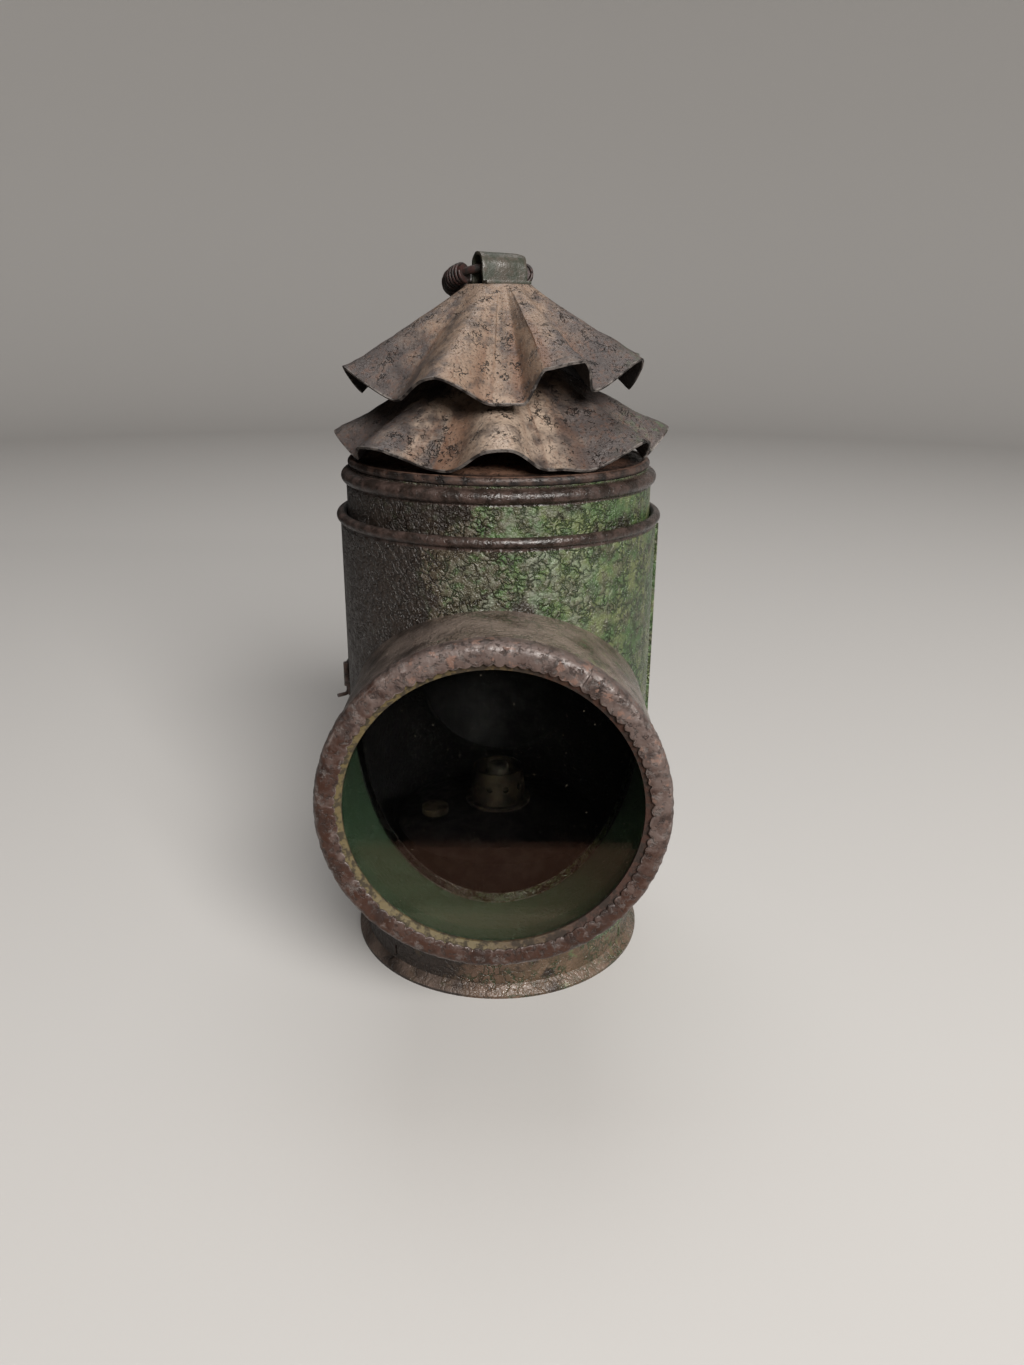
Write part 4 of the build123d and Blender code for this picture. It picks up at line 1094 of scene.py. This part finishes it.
@dataclass
class CrimpedBezel:
    """Ring crimped over the pane: rolled outer edge, lumpy face, small uneven scallops and one split.

    The face holds how far in from the outside and how far behind the front each point of the
    section lies, in mm, from the back of the outside round to the opening.
    """

    columns: int = 1104
    scallops: int = 92
    open_radius: float = 32.75 * MM
    scallop: float = 0.75 * MM
    scallop_power: float = 0.7
    wander_deg: float = 2.2
    sheet: float = 0.75 * MM
    lip: float = 0.42 * MM
    lip_step: float = 0.05 * MM
    lumps: float = 0.28 * MM
    lump_waves: float = 14.0
    split_at: float = 59.0
    split_half: float = 0.35
    split_depth: float = 0.5 * MM
    split_from: int = 2
    front_from: int = 3
    face_from: int = 6
    face_least: float = 0.4 * MM
    edge_least: float = 0.2 * MM
    edge_most: float = 0.3 * MM
    face: tuple[tuple[float, float], ...] = (
        (0.0, 4.5), (0.0, 3.4), (0.0, 2.3), (0.12, 1.4), (0.45, 0.72), (1.0, 0.26), (1.7, 0.06), (2.5, 0.02),
        (3.3, 0.08), (4.0, 0.16),
    )

    def edge(self, angle: float) -> float:
        """Radius of the scalloped opening.

        Args:
            angle: degrees round the pane.

        Returns:
            The radius.
        """
        turn = math.radians(angle)
        spot = Vector((math.cos(turn), math.sin(turn), 0))
        moved = angle + self.wander_deg * noise.noise(spot * 4.0)
        lobe = 1 - abs(math.sin(math.radians(moved * self.scallops / 2))) ** self.scallop_power
        uneven = 0.75 + 0.9 * noise.noise(spot * 11.0)
        return self.open_radius + self.scallop * (lobe * uneven + 0.4 * noise.noise(spot * 6.0))

    def build(self, material: bpy.types.Material) -> None:
        """Makes the bezel.

        Args:
            material: its finish.
        """
        low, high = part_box("lens_bezel")
        outer, reach, middle = high[0], -low[1], (low[2] + high[2]) / 2
        deselect()
        bpy.ops.mesh.primitive_circle_add(vertices=self.columns, radius=outer, fill_type="NOTHING")
        piece = bpy.context.object
        bpy.ops.object.mode_set(mode="EDIT")
        bpy.ops.mesh.select_all(action="SELECT")
        rings = len(self.face) + 4
        draw_down(rings)
        bpy.ops.object.mode_set(mode="OBJECT")
        for vertex in piece.data.vertices:
            ring = round(-vertex.co.z / MM)
            angle = math.degrees(math.atan2(vertex.co.y, vertex.co.x))
            radius, depth = self.spot(ring % rings, angle, outer)
            turn = math.radians(angle)
            vertex.co = (radius * math.cos(turn), depth - reach, middle + radius * math.sin(turn))
        bpy.ops.object.mode_set(mode="EDIT")
        bpy.ops.mesh.select_all(action="SELECT")
        bpy.ops.mesh.remove_doubles(threshold=0.000001)
        bpy.ops.mesh.normals_make_consistent(inside=False)
        settle(piece, "crimped_bezel", material, 60)
        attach(piece, Body.CASE.value)
        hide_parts("lens_bezel")

    def spot(self, ring: int, angle: float, outer: float) -> tuple[float, float]:
        """Radius and depth behind the front of one point.

        Args:
            ring: which ring of the section, from the back of the outside round to the back of the inside.
            angle: degrees round the pane.
            outer: radius of the outside.

        Returns:
            Its radius and its depth.
        """
        turn = math.radians(angle)
        inner = self.edge(angle)
        back = (
            (inner, self.lip), (inner + self.lip_step, self.sheet), (outer - self.sheet, self.sheet),
            (outer - self.sheet, self.face[0][1] * MM),
        )
        if ring >= len(self.face):
            return back[ring - len(self.face)]
        away, depth = (number * MM for number in self.face[ring])
        around = Vector((math.cos(turn), math.sin(turn), away * 40)) * self.lump_waves
        lump = self.lumps * abs(noise.noise(around)) + 0.4 * self.lumps * abs(noise.noise(around * 3.1))
        if ring >= self.split_from and abs(angle - self.split_at) < self.split_half:
            lump += self.split_depth
        if ring >= self.front_from:
            depth += lump
        if ring < self.face_from:
            return outer - away - lump, depth
        if ring < len(self.face) - 1:
            return max(outer - away, inner + self.face_least), depth
        return max(inner + self.edge_least, min(outer - away, inner + self.edge_most)), depth


@dataclass
class PaneDust:
    """Specks of dust that stick to the outside of the pane."""

    specks: int = 240
    smallest: float = 0.03 * MM
    largest: float = 0.11 * MM
    reach: float = 31.0 * MM
    flattened: Point = (1.0, 0.4, 0.8)

    def build(self, material: bpy.types.Material) -> None:
        """Makes one speck, copies it about and joins the copies.

        Args:
            material: its finish.
        """
        low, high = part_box("lens_glass")
        deselect()
        bpy.ops.mesh.primitive_ico_sphere_add(subdivisions=1, radius=1.0)
        first = bpy.context.object
        bpy.ops.transform.resize(value=self.flattened)
        bpy.ops.object.transform_apply(scale=True)
        made = [first]
        for _ in range(self.specks - 1):
            copy = first.copy()
            copy.data = first.data.copy()
            bpy.context.scene.collection.objects.link(copy)
            made.append(copy)
        for speck in made:
            turn = random.uniform(0, math.tau)
            away = self.reach * math.sqrt(random.random())
            size = self.smallest + (self.largest - self.smallest) * random.random() ** 4
            speck.scale = (size, size, size)
            speck.location = (away * math.cos(turn), low[1], (low[2] + high[2]) / 2 + away * math.sin(turn))
            speck.select_set(True)
        bpy.context.view_layer.objects.active = first
        bpy.ops.object.join()
        settle(first, "pane_dust", material, 60)
        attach(first, Body.CASE.value)


@dataclass
class CarryGear:
    """Strap on the crown and the fine wire wound round the carrying ring."""

    turn: float = math.radians(25.0)
    rest: float = math.radians(17.0)
    ring_radius: float = 8.5 * MM
    outer: float = 2.5 * MM
    strand: float = 0.38 * MM
    loops: int = 41
    first: float = math.radians(331.0)
    span: float = math.radians(238.0)
    points_per_loop: int = 18
    slack: float = 0.09
    sleeve_steps: int = 60
    sleeve_inset: float = 1.9
    strap_grid: tuple[int, int] = (20, 44)
    strap_length: float = 11.1 * MM
    strap_sheet: float = 0.7 * MM
    strap_half: float = 3.05 * MM
    strap_foot: float = 2.6 * MM
    strap_round: float = 0.18 * MM
    strap_fall: float = 0.05
    strap_dent: float = 0.14 * MM
    strap_fray: float = 0.25 * MM

    def ring_point(self, centre: Vector, angle: float, away: float, roll: float) -> Vector:
        """A point round the ring's wire.

        Args:
            centre: centre of the ring.
            angle: place along the ring.
            away: distance from the ring's own centre line.
            roll: place round that centre line.

        Returns:
            The point.
        """
        sine, cosine = math.sin(self.turn), math.cos(self.turn)
        along = Vector((cosine, sine, 0))
        back = Vector((-sine * math.cos(self.rest), cosine * math.cos(self.rest), -math.sin(self.rest)))
        reach = self.ring_radius + away * math.cos(roll)
        flat = along * (reach * math.cos(angle)) + back * (reach * math.sin(angle))
        return centre + flat + along.cross(back) * (away * math.sin(roll))

    def tube(self, name: str, points: list[Vector], radius: float) -> bpy.types.Object:
        """A round wire along points.

        Args:
            name: its name.
            points: its centre line.
            radius: its radius.

        Returns:
            The wire as a mesh.
        """
        deselect()
        data = bpy.data.curves.new(name, "CURVE")
        data.dimensions = "3D"
        data.bevel_depth = radius
        data.bevel_resolution = 2
        data.use_fill_caps = True
        line = data.splines.new("POLY")
        line.points.add(len(points) - 1)
        for place, point in zip(line.points, points):
            place.co = (*point, 1)
        wire = bpy.data.objects.new(name, data)
        bpy.context.scene.collection.objects.link(wire)
        activate(wire)
        bpy.ops.object.convert(target="MESH")
        return bpy.context.object

    def winding(self, frame: dict, material: bpy.types.Material) -> None:
        """Winds fine wire round the ring, over a dark sleeve.

        Args:
            material: its finish.
        """
        spots = [vertex.co for vertex in frame["nodes"]["carry_ring"].data.vertices]
        centre = sum(spots, Vector()) / len(spots)
        count = self.loops * self.points_per_loop
        strands = []
        for n in range(count + 1):
            share = n / count
            tight = 1 - self.slack * abs(noise.noise(Vector((n * 0.11, 3.1, 0))))
            away, roll = (self.outer - self.strand) * tight, math.tau * self.loops * share
            strands.append(self.ring_point(centre, self.first + self.span * share, away, roll))
        places = (self.first + self.span * n / self.sleeve_steps for n in range(self.sleeve_steps + 1))
        core = [self.ring_point(centre, place, 0, 0) for place in places]
        sleeve = self.tube("winding_sleeve", core, self.outer - self.sleeve_inset * self.strand)
        wire = self.tube("winding_wire", strands, self.strand)
        deselect()
        sleeve.select_set(True)
        wire.select_set(True)
        bpy.context.view_layer.objects.active = wire
        bpy.ops.object.join()
        settle(wire, "fine_winding", material, 60)
        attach(wire, Body.RING.value)
        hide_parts("ring_winding")

    def section(self, path: float, total: float, leg: float) -> tuple[float, float]:
        """Cross-section of the strap.

        Args:
            path: way along the bent sheet from one foot's end.
            total: whole way from foot to foot.
            leg: height of its upright part.

        Returns:
            The place across the strap and the height over its feet.
        """
        way = min(path, total - path)
        if way < self.strap_foot:
            across, up = way - self.strap_half - self.strap_foot, 0.0
        elif way < self.strap_foot + leg:
            across, up = -self.strap_half, way - self.strap_foot
        else:
            swing = (way - self.strap_foot - leg) / self.strap_half
            across, up = -self.strap_half * math.cos(swing), leg + self.strap_half * math.sin(swing)
        return (-across if path > total / 2 else across), up

    def strap(self, material: bpy.types.Material) -> None:
        """Bends a sheet into the strap, higher at its open left end, with turned-out feet.

        Args:
            material: its finish.
        """
        low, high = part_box("ring_strap")
        floor = low[2] + self.strap_sheet / 2
        rise = high[2] - self.strap_sheet / 2 - floor
        leg = rise - self.strap_half
        total = 2 * (self.strap_foot + leg) + math.pi * self.strap_half
        sine, cosine = math.sin(self.turn), math.cos(self.turn)
        deselect()
        columns, rows = self.strap_grid
        bpy.ops.mesh.primitive_grid_add(x_subdivisions=columns, y_subdivisions=rows, size=1.0)
        piece = bpy.context.object
        for vertex in piece.data.vertices:
            share, path = vertex.co.x + 0.5, (vertex.co.y + 0.5) * total
            across, up = self.section(path, total, leg)
            fall = self.strap_fall * rise * (share + max(0.0, (share - 0.8) / 0.2) ** 2)
            up -= fall * min(1.0, up / leg)
            dent = noise.noise(Vector((share * 3, path * 400, 5.0))) * self.strap_dent
            across += dent * min(1.0, up / leg)
            fray = noise.noise(Vector((path * 500, 8.0 if share > 0.5 else 2.0, 0))) * self.strap_fray
            along = (share - 0.5) * self.strap_length + fray * abs(2 * share - 1) ** 3
            vertex.co = (along * cosine - across * sine, along * sine + across * cosine, floor + up)
        thicken(piece, self.strap_sheet, 0.0)
        rounded = piece.modifiers.new("round", "BEVEL")
        rounded.width = self.strap_round
        rounded.segments = 2
        apply_modifiers(piece)
        settle(piece, "bent_strap", material, 50)
        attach(piece, Body.SHUTTER.value)
        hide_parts("ring_strap")

    def build(self, frame: dict, finishes: Finishes) -> None:
        """Makes both pieces.

        Args:
            finishes: the materials.
        """
        self.winding(frame, finishes.materials["wound_wire"])
        self.strap(finishes.materials["strap_tin"])


@dataclass(frozen=True)
class Card:
    """A flat card that only reflections see: a painted reflection, hidden from the camera, diffuse light and
    shadows.
    """

    name: str
    low: Point
    high: Point
    colour: Colour

    def build(self) -> None:
        """Stands the card up, or lays it down where both corners are as high."""
        deselect()
        bpy.ops.mesh.primitive_plane_add(size=1.0)
        card = bpy.context.object
        low, high = Vector(self.low), Vector(self.high)
        for vertex in card.data.vertices:
            along, out = vertex.co.x + 0.5, vertex.co.y + 0.5
            shares = (along, out, out if low.y == high.y else along)
            vertex.co = [a + (b - a) * share for a, b, share in zip(low, high, shares)]
        material, shader = new_material(self.name)
        shader.inputs["Base Color"].default_value = (*self.colour, 1)
        shader.inputs["Specular IOR Level"].default_value = 0.0
        shader.inputs["Roughness"].default_value = 1.0
        settle(card, self.name, material)
        card.visible_camera = False
        card.visible_diffuse = False
        card.visible_shadow = False


@dataclass(frozen=True)
class Lamp:
    """A square lamp that faces the lantern."""

    name: str
    place: Point
    size: float
    watts: float
    colour: Colour
    aim: Point = (0.0, 0.0, 0.09)

    def build(self) -> None:
        """Hangs the lamp."""
        data = bpy.data.lights.new(self.name, "AREA")
        data.shape = "SQUARE"
        data.size = self.size
        data.energy = self.watts
        data.color = self.colour
        lamp = bpy.data.objects.new(self.name, data)
        bpy.context.scene.collection.objects.link(lamp)
        lamp.location = self.place
        ahead = Vector(self.aim) - Vector(self.place)
        lamp.rotation_euler = ahead.to_track_quat("-Z", "Y").to_euler()
        lamp.visible_camera = False


@dataclass
class Stage:
    """Pale floor that curves up all round, cards, lamps, world and the photograph's camera."""

    floor_radius: float = 1.3
    curve: float = 0.5
    curve_steps: int = 10
    height: float = 1.6
    pale: Colour = (0.52, 0.51, 0.50)
    dim: Colour = (0.22, 0.20, 0.18)
    sky: Colour = (0.9, 0.95, 1.0)
    sky_strength: float = 0.33
    lens: float = 35.06
    film: float = 36.0
    roll: float = math.radians(0.41)
    stands: Point = (3.868 * MM, -248.493 * MM, 162.399 * MM)
    ahead: Point = (-0.00101, 0.93836, -0.34567)
    black: Colour = (0.004, 0.004, 0.004)

    def build(self) -> None:
        """Sets the whole stage: the pane and the bare metal mirror its cards, which are painted reflections.
        """
        self.floor()
        cards = (
            # Painted reflections: tan and brown cards stand for a table in front, black cards for dark
            # surroundings.
            Card("painted_reflection_tan", (-0.5, -0.122, 0.001), (0.5, -0.068, 0.001), (0.46, 0.28, 0.20)),
            Card("painted_reflection_brown", (-0.5, -0.160, 0.001), (0.5, -0.122, 0.001), (0.18, 0.09, 0.06)),
            Card("painted_reflection_black", (-0.5, -1.3, 0.001), (0.5, -0.160, 0.001), self.black),
            Card("painted_reflection_left", (-0.45, -0.6, 0.0), (-0.45, 0.5, 0.55), self.black),
            Card("painted_reflection_back", (-0.45, 0.5, 0.0), (-0.07, 0.5, 0.45), self.black),
        )
        lamps = (
            Lamp("key", (0.44, -1.10, 0.78), size=0.60, watts=33.0, colour=(1.0, 0.97, 0.93)),
            Lamp("top", (0.0, 0.45, 1.50), size=1.0, watts=8.0, colour=(1.0, 1.0, 1.0)),
        )
        for item in (*cards, *lamps):
            item.build()
        self.world()
        self.camera()

    def floor(self) -> None:
        """A floor spun round the lantern, rising into a backdrop."""
        deselect()
        bpy.ops.mesh.primitive_circle_add(vertices=128, radius=self.floor_radius, fill_type="NGON")
        floor = bpy.context.object
        bpy.ops.object.mode_set(mode="EDIT")
        bpy.ops.mesh.select_all(action="DESELECT")
        bpy.ops.mesh.select_non_manifold()
        radius = self.floor_radius
        step = math.pi / 2 / self.curve_steps
        for n in range(1, self.curve_steps + 1):
            wide = self.floor_radius + self.curve * math.sin(step * n)
            rise = self.curve * (math.cos(step * (n - 1)) - math.cos(step * n))
            bpy.ops.mesh.extrude_region_move(TRANSFORM_OT_translate={"value": (0, 0, rise)})
            bpy.ops.transform.resize(value=(wide / radius, wide / radius, 1), center_override=(0, 0, 0))
            radius = wide
        bpy.ops.mesh.extrude_region_move(TRANSFORM_OT_translate={"value": (0, 0, self.height - self.curve)})
        bpy.ops.object.mode_set(mode="OBJECT")
        material, shader = new_material("pale_floor")
        g = Graph(material.node_tree)
        rays = g.add("LightPath").outputs
        mirrored = g.largest(rays["Is Glossy Ray"], rays["Is Transmission Ray"])
        seen = g.largest(rays["Is Camera Ray"], mirrored)
        g.feed(shader.inputs["Base Color"], g.mix(seen, self.dim, self.pale))
        shader.inputs["Roughness"].default_value = 0.8
        settle(floor, "floor", material, 30)

    def world(self) -> None:
        """A dim even sky."""
        world = bpy.data.worlds.new("studio")
        bpy.context.scene.world = world
        world.use_nodes = True
        background = world.node_tree.nodes["Background"]
        background.inputs["Color"].default_value = (*self.sky, 1)
        background.inputs["Strength"].default_value = self.sky_strength

    def camera(self) -> None:
        """The photograph's camera, found from the lantern's own measured points."""
        ahead = Vector(self.ahead).normalized()
        side = ahead.cross(Vector((0, 0, 1))).normalized()
        top = side.cross(ahead)
        right = side * math.cos(self.roll) + top * math.sin(self.roll)
        up = top * math.cos(self.roll) - side * math.sin(self.roll)
        data = bpy.data.cameras.new("camera")
        data.sensor_fit = "HORIZONTAL"
        data.sensor_width = self.film
        data.lens = self.lens
        data.clip_start = 0.01
        camera = bpy.data.objects.new("camera", data)
        bpy.context.scene.collection.objects.link(camera)
        turn = Matrix((right, up, -ahead)).transposed().to_4x4()
        camera.matrix_world = Matrix.Translation(Vector(self.stands)) @ turn
        bpy.context.scene.camera = camera


def main() -> None:
    """Builds the scene in order."""
    logging.basicConfig(level=logging.INFO, format="%(message)s")
    random.seed(7)
    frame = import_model()
    bpy.context.scene.view_settings.view_transform = "Standard"
    Stage().build()
    finishes = Finishes(Effects())
    finishes.dress(frame)
    Bells().build(finishes)
    CrimpedBezel().build(finishes.materials["bezel_metal"])
    PaneDust().build(finishes.materials["dust"])
    CarryGear().build(frame, finishes)


if __name__ == "__main__":
    main()
